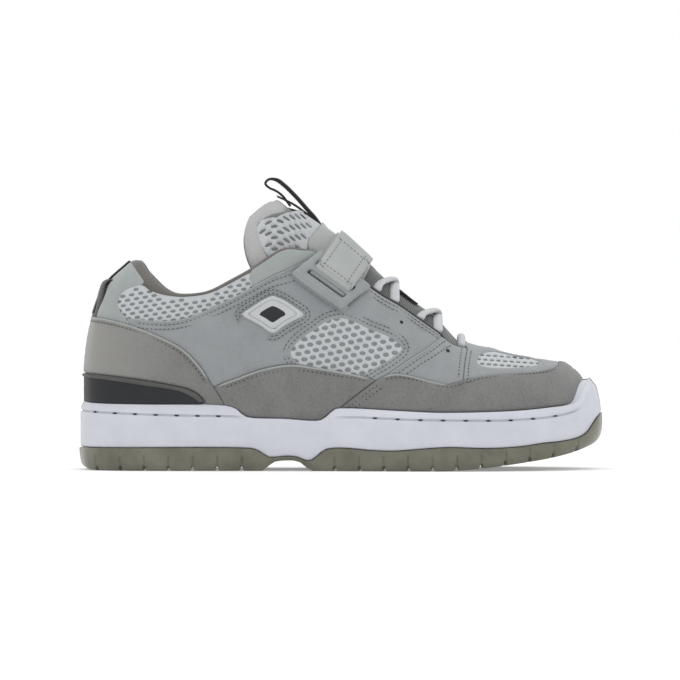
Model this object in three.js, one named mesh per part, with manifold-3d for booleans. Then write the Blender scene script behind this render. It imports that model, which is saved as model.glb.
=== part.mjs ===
// A low skateboarding shoe for the right foot: cup sole, padded collar, strap and ring over the tongue.
// Millimetres, +Z up, +X to the toe, +Y to the inner (medial) side. Everything is drawn from the heel tip
// on the floor, and the finished shoe is then set with its origin under the heel, in the middle of a lug.
import * as THREE from "three";
import { mergeVertices } from "three/addons/utils/BufferGeometryUtils.js";
import Module from "manifold-3d";

const wasm = await Module();
wasm.setup();

// Driving sizes
const LENGTH = 302;
const BALL_WIDTH = 112;
const HEEL_WIDTH = 83;
const SOLE_HEIGHT = 38;
const COLLAR_HEIGHT = 127.5;
const TONGUE_HEIGHT = 159;
const FOOTBED_HEIGHT = 21;
const CLEARANCE = 0.3;

// Walls and layers, each measured out from or in from the face of the upper
const UPPER_WALL = 2.2;
const NUBUCK = 1.4;
const SUEDE = 2.2;
const HEEL_INSERT = 3.4;
const INSERT_STEP = 0.8;
const INSERT_PLATE_BACK = 4;
const INSERT_PLATE_DOWN = 2.2;
const TONGUE_PAD = 7;
const COLLAR_PAD_HEEL = 8;
const COLLAR_PAD_FRONT = 1.8;
const COLLAR_PAD_DEPTH = 48;
const COLLAR_PAD_LIFT = -12;
const ROLL_EDGE = 0.5;
const INSOLE = 5;
const STRAP_PLY = 1.6;
const STRAP_WIDTH = 24;
const RING_THICKNESS = 2.2;
const RING_LENGTH = 35.5;
const RING_HEIGHT = 22.1;
const RING_SLOT = 3.2;
const RING_SLOT_ENDS = 0.8;
// how far up the ring its two slots start
const RING_SLOT_SHARES = [0.27, 0.58];
const STRAP_TUCK = 16;
const CROWN_GAP = 22.1;
const BADGE = 1.6;
const LACE = 4;
const EYELET_MARGIN = 1.6;
const WEBBING = 1.6;
const KEEPER = 1.1;

// Sole details
const WALL_INSET = 0.6;
const GROOVE_DEPTH = 1.3;
const GROOVE_HEIGHT = 1.2;
const LIP_LEAN = 3.4;
const TOE_LEAN = 4.6;
const LUG_PITCH = 14;
// first notch along, number of notches
const HEEL_NOTCHES = [0.034, 7];
const FORE_NOTCHES = [0.487, 11];
const NOTCH_WIDTH = 2.4;
const NOTCH_HEIGHT = 2.4;

// Counts of stations along the shoe and rows up each side
const STATIONS = 22;
const ROWS = 7;
const WIDE = 200;
const HALVINGS = 16;

// The sole's outline: shares of LENGTH along, and of half the local width out from the middle line
const OUTLINE = [
  // lateral along, lateral out, medial along, medial out
  [0, 0, 0, 0],
  [0.013, 0.46, 0.013, 0.46],
  [0.046, 0.77, 0.046, 0.77],
  [0.106, 0.95, 0.106, 0.95],
  [0.192, 1, 0.192, 0.99],
  [0.298, 0.99, 0.291, 0.89],
  [0.397, 0.96, 0.391, 0.78],
  [0.497, 0.945, 0.483, 0.78],
  [0.596, 0.96, 0.57, 0.87],
  [0.689, 0.965, 0.656, 0.97],
  [0.775, 0.93, 0.735, 1.035],
  [0.854, 0.81, 0.815, 1.02],
  [0.921, 0.61, 0.887, 0.92],
  [0.967, 0.36, 0.947, 0.74],
  [0.993, 0.07, 0.985, 0.48],
  [1, -0.16, 1, 0.16],
];

// The last's sections: the ridge as a share of TONGUE_HEIGHT, the footbed as a share of FOOTBED_HEIGHT,
// and the two powers that round the section from its side to its ridge
const SECTIONS = [
  // along, ridge, footbed, shoulder, crown
  [0, 0.818, 1.05, 3.2, 1.05],
  [0.13, 0.818, 1.03, 3.6, 1.3],
  [0.2, 0.843, 1, 3.8, 2.1],
  [0.3, 0.925, 0.95, 3.2, 2.4],
  [0.375, 1.018, 0.91, 2.6, 2.2],
  [0.44, 0.937, 0.85, 2.1, 1.95],
  [0.497, 0.858, 0.78, 1.9, 1.9],
  [0.55, 0.766, 0.75, 1.8, 1.8],
  [0.613, 0.657, 0.72, 1.8, 1.8],
  [0.68, 0.566, 0.72, 1.9, 1.9],
  [0.72, 0.486, 0.76, 2, 2],
  [0.745, 0.45, 0.79, 2.1, 2],
  [0.805, 0.425, 0.86, 2.2, 2.1],
  [0.88, 0.396, 1.02, 2.4, 2.3],
  [1, 0.387, 1.33, 2.6, 2.6],
];

// How far the upper's foot stands in from the sole's outline, and how far its side swells
const STANCE = [
  // along, inset, swell
  [0, 6, 2],
  [0.1, 6.5, 2.4],
  [0.3, 6.5, 3],
  [0.6, 6.5, 2.5],
  [0.85, 7.5, 2],
  [0.96, 10, 1.6],
  [1, 11, 1.5],
];

// The sole seen from the side: shares of LENGTH and of SOLE_HEIGHT
const TREAD_LINE = [
  // along, up
  [-0.01, 0.3],
  [0, 0.165],
  [0.004, 0.08],
  [0.013, 0.035],
  [0.036, 0],
  [0.357, 0],
  [0.364, 0.1],
  [0.376, 0.14],
  [0.393, 0.155],
  [0.415, 0.15],
  [0.43, 0.095],
  [0.443, 0],
  [0.69, 0],
  [0.73, 0.018],
  [0.77, 0.045],
  [0.81, 0.085],
  [0.85, 0.13],
  [0.89, 0.18],
  [0.93, 0.25],
  [0.965, 0.34],
  [0.988, 0.43],
  [1.01, 0.62],
];
const PART_LINE = [
  // along, up
  [-0.01, 0.34],
  [0.318, 0.34],
  [0.336, 0.325],
  [0.35, 0.27],
  [0.362, 0.205],
  [0.372, 0.2],
  [0.398, 0.22],
  [0.417, 0.205],
  [0.434, 0.15],
  [0.443, 0.155],
  [0.455, 0.225],
  [0.468, 0.31],
  [0.485, 0.34],
  [0.51, 0.34],
  [0.555, 0.31],
  [0.6, 0.3],
  [0.65, 0.33],
  [0.7, 0.355],
  [0.78, 0.34],
  [0.84, 0.365],
  [0.88, 0.41],
  [0.92, 0.44],
  [0.95, 0.49],
  [0.966, 0.56],
  [0.976, 0.66],
  [0.986, 0.77],
  [1.01, 0.96],
];
const WALL_LINE = [
  // along, up
  [-0.01, 1.05],
  [0.03, 1.015],
  [0.12, 1],
  [0.28, 0.985],
  [0.3, 0.94],
  [0.316, 0.83],
  [0.328, 0.8],
  [0.39, 0.785],
  [0.462, 0.765],
  [0.474, 0.83],
  [0.488, 0.93],
  [0.51, 0.945],
  [0.6, 0.91],
  [0.68, 0.88],
  [0.76, 0.885],
  [0.84, 0.91],
  [0.9, 0.955],
  [0.935, 0.995],
  [0.946, 1.04],
  [0.95, 1.2],
  [0.957, 1.34],
  [0.968, 1.42],
  [1.01, 1.44],
];
const GROOVE_LINE = [
  // along, up
  [0, 0.9],
  [0.06, 0.87],
  [0.2, 0.832],
  [0.29, 0.82],
  [0.4, 0.7],
  [0.51, 0.81],
  [0.65, 0.77],
  [0.79, 0.76],
  [0.87, 0.79],
  [0.93, 0.86],
  [0.955, 0.95],
  [0.97, 1.16],
  [1, 1.28],
];

// The upper's seams and edges seen from the side: shares of LENGTH and of COLLAR_HEIGHT
const COUNTER_TOP = [
  // along, up
  [-0.05, 0.69],
  [0.028, 0.68],
  [0.065, 0.667],
  [0.11, 0.637],
  [0.165, 0.585],
  [0.2, 0.54],
  [0.232, 0.465],
  [0.258, 0.374],
];
const COUNTER_FRONT = [
  // along, up
  [0.258, 0.374],
  [0.27, 0.333],
  [0.281, 0.285],
  [0.296, 0.2],
];
const INSERT_TOP = [
  // along, up
  [-0.05, 0.433],
  [0.041, 0.427],
  [0.11, 0.408],
  [0.17, 0.385],
  [0.215, 0.36],
  [0.237, 0.325],
  [0.25, 0.27],
];
const FOXING_TOP = [
  // along, up
  [0.258, 0.374],
  [0.3, 0.41],
  [0.35, 0.452],
  [0.405, 0.473],
  [0.45, 0.46],
  [0.51, 0.435],
  [0.567, 0.404],
];
const FOXING_FRONT = [
  // along, up
  [0.567, 0.404],
  [0.533, 0.345],
  [0.499, 0.28],
  [0.475, 0.2],
];
const TOE_WRAP_TOP = [
  // along, up
  [0.567, 0.404],
  [0.583, 0.42],
  [0.605, 0.428],
  [0.635, 0.417],
  [0.67, 0.394],
  [0.7, 0.382],
  [0.73, 0.4],
  [0.78, 0.418],
  [0.84, 0.428],
  [0.89, 0.44],
  [0.91, 0.456],
  [0.921, 0.49],
  [0.923, 0.6],
];
const VAMP_REAR = [
  // along, up
  [0.583, 0.42],
  [0.632, 0.498],
  [0.661, 0.54],
  [0.698, 0.605],
];
const TOE_SEAM = [
  // along, up
  [0.73, 0.39],
  [0.734, 0.485],
  [0.739, 0.54],
  [0.745, 0.7],
];
const THROAT = [
  // along, up
  [0.739, 0.543],
  [0.728, 0.547],
  [0.708, 0.562],
  [0.689, 0.602],
  [0.65, 0.668],
  [0.612, 0.73],
  [0.575, 0.782],
  [0.53, 0.862],
  [0.47, 0.985],
];
const COLLAR_EDGE = [
  // along, up
  [0.1, 0.93],
  [0.112, 0.89],
  [0.13, 0.832],
  [0.155, 0.8],
  [0.185, 0.783],
  [0.21, 0.782],
  [0.25, 0.797],
  [0.29, 0.842],
  [0.33, 0.895],
  [0.365, 0.95],
  [0.385, 0.98],
  [0.403, 0.99],
  [0.425, 0.985],
  [0.47, 0.975],
];
const COLLAR_TOP = [
  // along, up
  [0.098, 0.935],
  [0.106, 0.955],
  [0.118, 0.96],
  [0.135, 0.91],
  [0.158, 0.845],
  [0.18, 0.806],
  [0.208, 0.797],
  [0.25, 0.813],
  [0.29, 0.86],
  [0.33, 0.912],
  [0.364, 0.968],
  [0.385, 0.995],
  [0.403, 1],
  [0.425, 0.996],
  [0.448, 0.968],
];
const QUARTER_TOP = [
  // along, up
  [0.096, 0.682],
  [0.13, 0.67],
  [0.174, 0.667],
  [0.21, 0.682],
  [0.26, 0.731],
  [0.317, 0.798],
  [0.365, 0.863],
  [0.42, 0.92],
  [0.447, 0.95],
];
const HEEL_PANEL_FRONT = [
  // along, up
  [0.094, 0.63],
  [0.094, 0.679],
  [0.08, 0.72],
  [0.078, 0.765],
  [0.092, 0.805],
  [0.127, 0.834],
];
const SIDE_WINDOW = [
  // along, up
  [0.405, 0.525],
  [0.42, 0.577],
  [0.448, 0.625],
  [0.478, 0.67],
  [0.508, 0.677],
  [0.552, 0.633],
  [0.598, 0.586],
  [0.615, 0.545],
  [0.597, 0.505],
  [0.565, 0.46],
  [0.541, 0.432],
  [0.508, 0.438],
  [0.455, 0.463],
  [0.414, 0.49],
];
const TOE_VENT = [
  // along, up
  [0.759, 0.475],
  [0.763, 0.51],
  [0.785, 0.525],
  [0.83, 0.505],
  [0.865, 0.49],
  [0.88, 0.472],
  [0.842, 0.457],
  [0.8, 0.454],
  [0.772, 0.46],
];
const BADGE_CENTRE = [0.371, 0.694];
const BADGE_HALF = [18.2, 10.7];

// The tongue seen from the side: shares of LENGTH and of TONGUE_HEIGHT
const TONGUE_REAR = [
  // along, up
  [0.52, 0.16],
  [0.38, 0.55],
  [0.345, 0.72],
  [0.325, 0.79],
  [0.317, 0.88],
  [0.33, 0.942],
  [0.35, 0.967],
  [0.374, 0.986],
];

// Heel pull tab, tongue loop and lace keeper, as shares of LENGTH and of TONGUE_HEIGHT
const HEEL_TAB_PATH = [
  // along, up
  [0.0265, 0.55],
  [0.034, 0.6],
  [0.041, 0.65],
  [0.047, 0.676],
  [0.058, 0.684],
  [0.064, 0.668],
  [0.061, 0.64],
  [0.0535, 0.612],
];
const LOOP_PATH = [
  // along, up
  [0.402, 0.978],
  [0.387, 0.995],
  [0.368, 1.016],
  [0.357, 1.038],
  [0.364, 1.053],
  [0.382, 1.043],
  [0.4, 1.018],
  [0.425, 0.972],
  [0.449, 0.921],
  [0.463, 0.888],
];
const KEEPER_PATH = [
  // along, up
  [0.616, 0.644],
  [0.621, 0.653],
  [0.631, 0.637],
  [0.641, 0.61],
];
const HEEL_TAB_WIDTHS = [34, 22];
const LOOP_WIDTH = 12;
const KEEPER_WIDTH = 20;
const HEEL_BOW_RADIUS = 30;

// Lacing rows along the throat, from the toe: a plain bar, then two crossings
const LACE_BAR = 0.729;
const LACE_CROSSINGS = [
  // name, low eyelet along, high eyelet along
  ["lower", 0.684, 0.65],
  ["upper", 0.602, 0.568],
];

// Interpolates a table's other columns on its first one, without overshoot
function table(rows) {
  const x = rows.map((row) => row[0]);
  const slopes = rows[0].slice(1).map((_, column) => {
    const y = rows.map((row) => row[column + 1]);
    const steps = x.slice(1).map((value, i) => (y[i + 1] - y[i]) / (value - x[i]));
    return y.map((_, i) => {
      if (i === 0 || i === y.length - 1) return steps[Math.max(0, i - 1)];
      const [before, after] = [steps[i - 1], steps[i]];
      return before * after <= 0 ? 0 : (2 * before * after) / (before + after);
    });
  });
  return (at) => {
    const value = Math.min(Math.max(at, x[0]), x[x.length - 1]);
    let i = 0;
    while (i < x.length - 2 && value > x[i + 1]) i += 1;
    const span = x[i + 1] - x[i];
    const t = (value - x[i]) / span;
    return slopes.map((slope, column) => {
      const [from, to] = [rows[i][column + 1], rows[i + 1][column + 1]];
      const rise = from * (1 + 2 * t) * (1 - t) ** 2 + to * t * t * (3 - 2 * t);
      return rise + span * (slope[i] * t * (1 - t) ** 2 - slope[i + 1] * t * t * (1 - t));
    });
  };
}

const ease = (from, to, at) => {
  const t = Math.min(Math.max((at - from) / (to - from), 0), 1);
  return t * t * (3 - 2 * t);
};

const sectionAt = table(SECTIONS);
const stanceAt = table(STANCE);
const outlineAt = table(OUTLINE.map((row, i) => [i / (OUTLINE.length - 1), ...row]));
const halfWidth = (along) => (HEEL_WIDTH + (BALL_WIDTH - HEEL_WIDTH) * ease(0.3, 0.7, along)) / 2;

// A point of the sole's outline on one side, and the direction out of the sole there
function outlinePoint(station, side) {
  const place = (t) => {
    const [lateralAlong, lateralOut, medialAlong, medialOut] = outlineAt(t);
    const [along, out] = side < 0 ? [lateralAlong, lateralOut] : [medialAlong, medialOut];
    return new THREE.Vector2(along * LENGTH, side * out * halfWidth(along));
  };
  const step = 0.004;
  const before = place(Math.max(station - step, 0));
  const after = place(Math.min(station + step, 1));
  const out = new THREE.Vector2(-(after.y - before.y), after.x - before.x).multiplyScalar(side).normalize();
  if (station === 0) out.set(-1, 0);
  if (station === 1) out.set(1, 0);
  return { point: place(station), out };
}

// The ridge of the last stays between the top of the heel and the top of the toe box
const RIDGE_FROM = 0.126 * LENGTH;
const RIDGE_TO = 0.917 * LENGTH;
const RIDGE_SOFTNESS = 8;
const softly = (value) => RIDGE_SOFTNESS * Math.log(1 + Math.exp(value / RIDGE_SOFTNESS));
const ridgeX = (x) => RIDGE_TO - softly(RIDGE_TO - RIDGE_FROM - softly(x - RIDGE_FROM));

// A point of the upper's face: out and lift offset it from the last's own face, at its side and at its ridge
function formPoint(station, side, share, { out, lift }) {
  const sides = [-1, 1].map((which) => {
    const { point, out: direction } = outlinePoint(station, which);
    const along = point.x / LENGTH;
    const [inset, swell] = stanceAt(along);
    const offset = (typeof out === "function" ? out(along) : out) - inset;
    return { base: point.addScaledVector(direction, offset), direction, swell };
  });
  const { base, direction, swell } = sides[side < 0 ? 0 : 1];
  const ridge = sides[0].base.clone().add(sides[1].base).multiplyScalar(0.5);
  ridge.x = ridgeX(ridge.x);
  const [height, , shoulder, crown] = sectionAt((base.x + (ridge.x - base.x) * share) / LENGTH);
  const reach = Math.pow(1 - Math.pow(share, shoulder), 1 / crown);
  const place = ridge.clone().lerp(base, reach);
  place.addScaledVector(direction, swell * Math.sin(Math.PI * Math.pow(share, 0.7)));
  const floor = sectionAt(base.x / LENGTH)[1] * FOOTBED_HEIGHT;
  const offset = typeof out === "function" ? out(base.x / LENGTH) : out;
  const rise = (height * TONGUE_HEIGHT + offset - floor) * share + (lift - offset) * Math.pow(share, 12);
  return new THREE.Vector3(place.x, place.y, floor + rise);
}

// Turns a triangle soup into a solid
function solid(geometry) {
  const bare = geometry.clone();
  bare.deleteAttribute("normal");
  bare.deleteAttribute("uv");
  const merged = mergeVertices(bare, 1e-4);
  const corners = Array.from(merged.index.array);
  const triVerts = [];
  for (let i = 0; i < corners.length; i += 3) {
    const [a, b, c] = corners.slice(i, i + 3);
    if (a !== b && b !== c && c !== a) triVerts.push(a, b, c);
  }
  const made = (flip) => {
    const turned = flip ? triVerts.slice().reverse() : triVerts;
    return new wasm.Manifold(
      new wasm.Mesh({
        numProp: 3,
        vertProperties: new Float32Array(merged.attributes.position.array),
        triVerts: new Uint32Array(turned),
      }),
    );
  };
  const first = made(false);
  return first.volume() < 0 ? made(true) : first;
}

// Skins a list of closed rings; the first and the last are capped to their middles
function loft(rings, capped) {
  const positions = [];
  const push = (...points) => points.forEach((p) => positions.push(p.x, p.y, p.z));
  const count = rings[0].length;
  for (let i = 0; i + 1 < rings.length; i += 1) {
    for (let j = 0; j < count; j += 1) {
      const next = (j + 1) % count;
      push(rings[i][j], rings[i + 1][j], rings[i + 1][next]);
      push(rings[i][j], rings[i + 1][next], rings[i][next]);
    }
  }
  if (capped) {
    for (const [ring, turn] of [[rings[0], 1], [rings[rings.length - 1], -1]]) {
      const middle = ring.reduce((sum, p) => sum.add(p), new THREE.Vector3()).divideScalar(count);
      for (let j = 0; j < count; j += 1) {
        const pair = [ring[j], ring[(j + 1) % count]];
        push(middle, ...(turn > 0 ? pair : pair.reverse()));
      }
    }
  }
  const soup = new THREE.BufferGeometry();
  soup.setAttribute("position", new THREE.Float32BufferAttribute(positions, 3));
  return solid(soup);
}

// The last, grown or shrunk
function form(out, { lift = typeof out === "number" ? out : 0, drop = 0 } = {}) {
  const rings = [];
  for (let i = 0; i <= STATIONS; i += 1) {
    const station = i / STATIONS;
    const ring = [];
    for (const side of [-1, 1]) {
      const column = [];
      for (let j = 0; j <= ROWS; j += 1) {
        const share = 1 - Math.pow(1 - j / ROWS, 1.5);
        column.push(formPoint(station, side, share, { out, lift }));
      }
      if (drop > 0) column.unshift(column[0].clone().setZ(column[0].z - drop));
      if (side > 0) column.reverse().shift();
      ring.push(...column);
    }
    rings.push(ring);
  }
  return loft(rings, false);
}

// A drop deep enough to leave a form open underneath the one that it is cut from
const DEEP = 6;
const layer = (inner, outer, options = {}) =>
  form(outer, { drop: DEEP, ...options }).subtract(form(inner, { drop: 2 * DEEP, ...options }));

// A smooth edge through a table's rows, in millimetres
function smoothed(rows, height, detail, closed) {
  const points = rows.map(([along, up]) => new THREE.Vector3(along * LENGTH, up * height, 0));
  const spans = closed ? rows.length : rows.length - 1;
  const made = new THREE.CatmullRomCurve3(points, closed, "centripetal").getPoints(spans * detail);
  return made.map((p) => new THREE.Vector2(p.x, p.y));
}
const edge = (rows, height, detail = 1) => smoothed(rows, height, detail, false);
const closedEdge = (rows, height, detail = 1) => smoothed(rows, height, detail, true).slice(0, -1);
const moved = (points, dx, dz) => points.map((p) => new THREE.Vector2(p.x + dx, p.y + dz));
const backwards = (points) => points.slice().reverse();
const at = (along, up) => new THREE.Vector2(along * LENGTH, up * COLLAR_HEIGHT);

// Places that more than one edge ends at: past the heel and the toe, the collar's rear, and where the toe
// wrap's seam crosses over
const HEEL_END = -0.05;
const TOE_END = 1.05;
const RIM = 0.93;
const TOE_CROSSING = 0.923;

// A side-view outline pushed through the whole width, or through one side of it
function prism(points, side = 0) {
  const depth = side === 0 ? 2 * WIDE : WIDE;
  const geometry = new THREE.ExtrudeGeometry(new THREE.Shape(points), { depth, bevelEnabled: false });
  geometry.rotateX(Math.PI / 2);
  geometry.translate(0, side < 0 ? 0 : WIDE, 0);
  return solid(geometry);
}

// Everything over, under, behind or ahead of a side-view edge, within the edge's own run
const SKY = 2 * TONGUE_HEIGHT;
const FAR = 2 * LENGTH;
const beyond = (axis, value) => (points, side = 0) => {
  const shifted = [points.at(-1), points[0]].map((p) => p.clone());
  shifted.forEach((p) => (p[axis] = value));
  return prism([...points, ...shifted], side);
};
const above = beyond("y", SKY);
const below = beyond("y", -SKY);
const ahead = beyond("x", FAR);
const behind = beyond("x", -FAR);

// Edges that more than one piece meets
const wallEdge = edge(WALL_LINE, SOLE_HEIGHT);
const counterTop = edge(COUNTER_TOP, COLLAR_HEIGHT);
const counterFront = edge(COUNTER_FRONT, COLLAR_HEIGHT);
const insertTop = edge(INSERT_TOP, COLLAR_HEIGHT);
const foxingTop = edge(FOXING_TOP, COLLAR_HEIGHT);
const foxingFront = edge(FOXING_FRONT, COLLAR_HEIGHT);
const toeWrapTop = edge(TOE_WRAP_TOP, COLLAR_HEIGHT);
const vampRear = edge(VAMP_REAR, COLLAR_HEIGHT);
const toeSeam = edge(TOE_SEAM, COLLAR_HEIGHT);
const throat = edge(THROAT, COLLAR_HEIGHT);
const collarEdge = edge(COLLAR_EDGE, COLLAR_HEIGHT);
const collarTop = edge(COLLAR_TOP, COLLAR_HEIGHT);
const quarterTop = edge(QUARTER_TOP, COLLAR_HEIGHT);
const heelPanelFront = edge(HEEL_PANEL_FRONT, COLLAR_HEIGHT);

const footbed = [
  at(HEEL_END, 0),
  ...SECTIONS.map(([along]) => at(along, 0)),
  at(TOE_END, 0),
].map((p) => p.setY(sectionAt(p.x / LENGTH)[1] * FOOTBED_HEIGHT));
const onFootbed = above(moved(footbed, 0, CLEARANCE));
const aboveWall = above(moved(wallEdge, 0, CLEARANCE));
const mouth = above([at(HEEL_END, RIM), ...collarEdge, ...backwards(throat), at(0.743, 0.543)]);

// Sole

// The plan of the sole at one height, with the wall's inset worked out from the groove
const grooveAt = table(GROOVE_LINE);
const WALL_ROWS = [
  // measured from the groove: height, inset, lean at the toe
  [-60, 1, 0],
  [-GROOVE_HEIGHT * 3, 0.4, 0],
  [-GROOVE_HEIGHT, 0.4, 0.1],
  [-GROOVE_HEIGHT / 3, 0.4 + GROOVE_DEPTH, 0.2],
  [GROOVE_HEIGHT / 3, 0.4 + GROOVE_DEPTH, 0.3],
  [GROOVE_HEIGHT, 0.6, 0.4],
  [SOLE_HEIGHT / 8, LIP_LEAN * 0.7, 0.8],
  [SOLE_HEIGHT / 4, LIP_LEAN, 1.7],
];

function midsoleBody() {
  const rings = WALL_ROWS.map(([height, inset, lean]) => {
    const ring = [];
    for (const side of [-1, 1]) {
      const column = [];
      for (let i = 0; i <= STATIONS; i += 1) {
        const { point, out } = outlinePoint(i / STATIONS, side);
        const along = point.x / LENGTH;
        const back = WALL_INSET + inset + lean * TOE_LEAN * ease(0.93, 1, along);
        const place = point.addScaledVector(out, -back);
        column.push(new THREE.Vector3(place.x, place.y, grooveAt(along)[0] * SOLE_HEIGHT + height));
      }
      if (side > 0) column.reverse();
      ring.push(...(side > 0 ? column.slice(1, -1) : column));
    }
    return ring;
  });
  return loft(rings, true);
}

function midsole() {
  const partEdge = moved(edge(PART_LINE, SOLE_HEIGHT), 0, CLEARANCE);
  const side = prism([...partEdge, ...backwards(wallEdge)]);
  const cup = form(CLEARANCE, { drop: DEEP }).intersect(above(footbed));
  return midsoleBody().intersect(side).subtract(cup);
}

function outsole() {
  const rings = [
    // height, inset
    [-1, 3],
    [0, 2.4],
    [2.5, 0.6],
    [6, 0],
    [13, 0.3],
    [48, 1.6],
  ].map(([height, inset]) => {
    const ring = [];
    for (const side of [-1, 1]) {
      const column = [];
      for (let i = 0; i <= STATIONS; i += 1) {
        const { point, out } = outlinePoint(i / STATIONS, side);
        const place = point.addScaledVector(out, -inset);
        column.push(new THREE.Vector3(place.x, place.y, height));
      }
      if (side > 0) column.reverse();
      ring.push(...(side > 0 ? column.slice(1, -1) : column));
    }
    return ring;
  });
  const side = prism([...edge(TREAD_LINE, SOLE_HEIGHT), ...backwards(edge(PART_LINE, SOLE_HEIGHT))]);
  return lugs(loft(rings, true).intersect(side));
}

// Cuts the notches between the lugs, heel block and forefoot block
function lugs(body) {
  const treadAt = table(TREAD_LINE);
  let cut = body;
  for (const [first, count] of [HEEL_NOTCHES, FORE_NOTCHES]) {
    for (let i = 0; i < count; i += 1) {
      const x = first * LENGTH + i * LUG_PITCH;
      const z = treadAt(x / LENGTH)[0] * SOLE_HEIGHT;
      const notch = [
        new THREE.Vector2(x - NOTCH_WIDTH / 2, z - 1),
        new THREE.Vector2(x + NOTCH_WIDTH / 2, z - 1),
        new THREE.Vector2(x + NOTCH_WIDTH / 2, z),
        new THREE.Vector2(x, z + NOTCH_HEIGHT),
        new THREE.Vector2(x - NOTCH_WIDTH / 2, z),
      ];
      cut = cut.subtract(prism(notch));
    }
  }
  return cut;
}

// Upper

const upper = () => layer(-UPPER_WALL, 0).intersect(onFootbed).subtract(mouth);

const insole = () =>
  form(-UPPER_WALL - CLEARANCE, { drop: DEEP })
    .intersect(onFootbed)
    .intersect(below(moved(footbed, 0, INSOLE)));

// Inner faces of the collar's lining and of the tongue
const padAt = (along) =>
  COLLAR_PAD_FRONT + (COLLAR_PAD_HEEL - COLLAR_PAD_FRONT) * (1 - ease(0.12, 0.34, along));
const liningFace = -UPPER_WALL - CLEARANCE;

function collarLining() {
  const inner = form((along) => liningFace - padAt(along), { lift: COLLAR_PAD_LIFT, drop: 2 * DEEP });
  const foot = [at(HEEL_END, 0.5), ...moved(collarEdge, 0, -COLLAR_PAD_DEPTH)];
  const rim = above(moved([at(HEEL_END, RIM), ...collarEdge], 0, CLEARANCE));
  const pad = form(liningFace, { drop: DEEP }).intersect(above(foot));
  const roll = form(-ROLL_EDGE, { drop: DEEP }).intersect(rim);
  return pad
    .add(roll)
    .subtract(inner)
    .intersect(below([at(HEEL_END, COLLAR_TOP[0][1]), ...collarTop]))
    .subtract(above([at(COLLAR_TOP.at(-1)[0], 0), at(TOE_END, 0)]));
}

const counterOutline = [...counterTop, ...counterFront.slice(1)];
const toeTip = ahead([at(TOE_CROSSING, -1), at(TOE_CROSSING, 2)]);

const counterFoot = [at(0.2515, 0.1), at(0.3, 0.1)];
const heelCounter = () =>
  layer(CLEARANCE, SUEDE)
    .intersect(below(counterOutline))
    .intersect(above([...moved(insertTop, 0, CLEARANCE), ...counterFoot]))
    .intersect(aboveWall);

function heelInsert() {
  const face = layer(CLEARANCE, HEEL_INSERT - INSERT_STEP).intersect(below(insertTop));
  const plateTop = moved(insertTop, -INSERT_PLATE_BACK, -INSERT_PLATE_DOWN);
  const plate = layer(CLEARANCE, HEEL_INSERT).intersect(below(plateTop));
  return face.add(plate).intersect(aboveWall);
}

function sidePanel(side) {
  const rear = moved(counterFront, CLEARANCE, CLEARANCE);
  const foot = [...rear, at(0.3, 0.1), at(0.47, 0.1), ...backwards(foxingFront)];
  return layer(CLEARANCE, SUEDE)
    .intersect(below(foxingTop, side))
    .intersect(above(foot))
    .intersect(aboveWall);
}

function toeWrap() {
  const top = [...moved(backwards(foxingFront), CLEARANCE, -CLEARANCE), ...toeWrapTop.slice(1)];
  return layer(CLEARANCE, SUEDE).intersect(below(top).add(toeTip)).intersect(aboveWall);
}

const vamp = () =>
  layer(CLEARANCE, NUBUCK)
    .intersect(above(moved(toeWrapTop, -CLEARANCE, CLEARANCE)))
    .intersect(ahead(moved(toeSeam, CLEARANCE, 0)))
    .subtract(prism(closedEdge(TOE_VENT, COLLAR_HEIGHT)));

const foreStay = (side) =>
  layer(CLEARANCE, NUBUCK)
    .intersect(above(moved(toeWrapTop, 0, CLEARANCE), side))
    .intersect(behind(toeSeam))
    .intersect(below(moved([...vampRear, at(0.75, 0.7)], CLEARANCE, -CLEARANCE)))
    .subtract(mouth);

const quarter = (side) =>
  layer(CLEARANCE, NUBUCK)
    .intersect(above(moved([...counterTop, ...foxingTop.slice(1), ...vampRear], 0, CLEARANCE), side))
    .intersect(below([...quarterTop, at(0.47, 1.05), at(0.75, 1.05)]))
    .subtract(mouth)
    .subtract(prism(closedEdge(SIDE_WINDOW, COLLAR_HEIGHT)));

const heelPanel = () =>
  layer(CLEARANCE, NUBUCK)
    .intersect(above(moved(counterTop, 0, CLEARANCE)))
    .intersect(behind(moved([...heelPanelFront, at(0.116, 0.87), at(0.103, 0.925)], -CLEARANCE, 0)));

const ankleRear = [at(0.333, 0.8), at(0.318, 1)];
const anklePanel = (side) =>
  layer(CLEARANCE, NUBUCK)
    .intersect(above(moved(quarterTop, 0, CLEARANCE), side))
    .intersect(ahead(ankleRear))
    .subtract(mouth);

// A diamond with its upper and lower corners cut off, and the raised field inside its frame
const BADGE_CORNER = 0.08;
const BADGE_FIELD = 0.8;
const BADGE_FRAME = 0.6;
const diamondCorners = [
  [-1, 0],
  [-BADGE_CORNER, 1],
  [BADGE_CORNER, 1],
  [1, 0],
  [BADGE_CORNER, -1],
  [-BADGE_CORNER, -1],
];
const diamond = (share) =>
  diamondCorners.map(([x, z]) =>
    at(...BADGE_CENTRE).add(new THREE.Vector2(x * share * BADGE_HALF[0], z * share * BADGE_HALF[1])),
  );

function badge() {
  const foot = NUBUCK + CLEARANCE;
  const plate = layer(foot, foot + BADGE * BADGE_FRAME).intersect(prism(diamond(1), -1));
  return plate.add(layer(foot, foot + BADGE).intersect(prism(diamond(BADGE_FIELD), -1)));
}

// Tongue, strap and lacing

// Behind the collar's front end the tongue runs inside the collar's pad
const TONGUE_GAP = 8 * CLEARANCE;
const tongueTuck = (along) => liningFace - (COLLAR_PAD_FRONT + TONGUE_GAP) * (1 - ease(0.45, 0.5, along));
const wings = [at(0.3, 0.5), at(0.55, 0.48), at(0.62, 0.42), at(0.7, 0.36), at(0.735, 0.36)];

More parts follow.
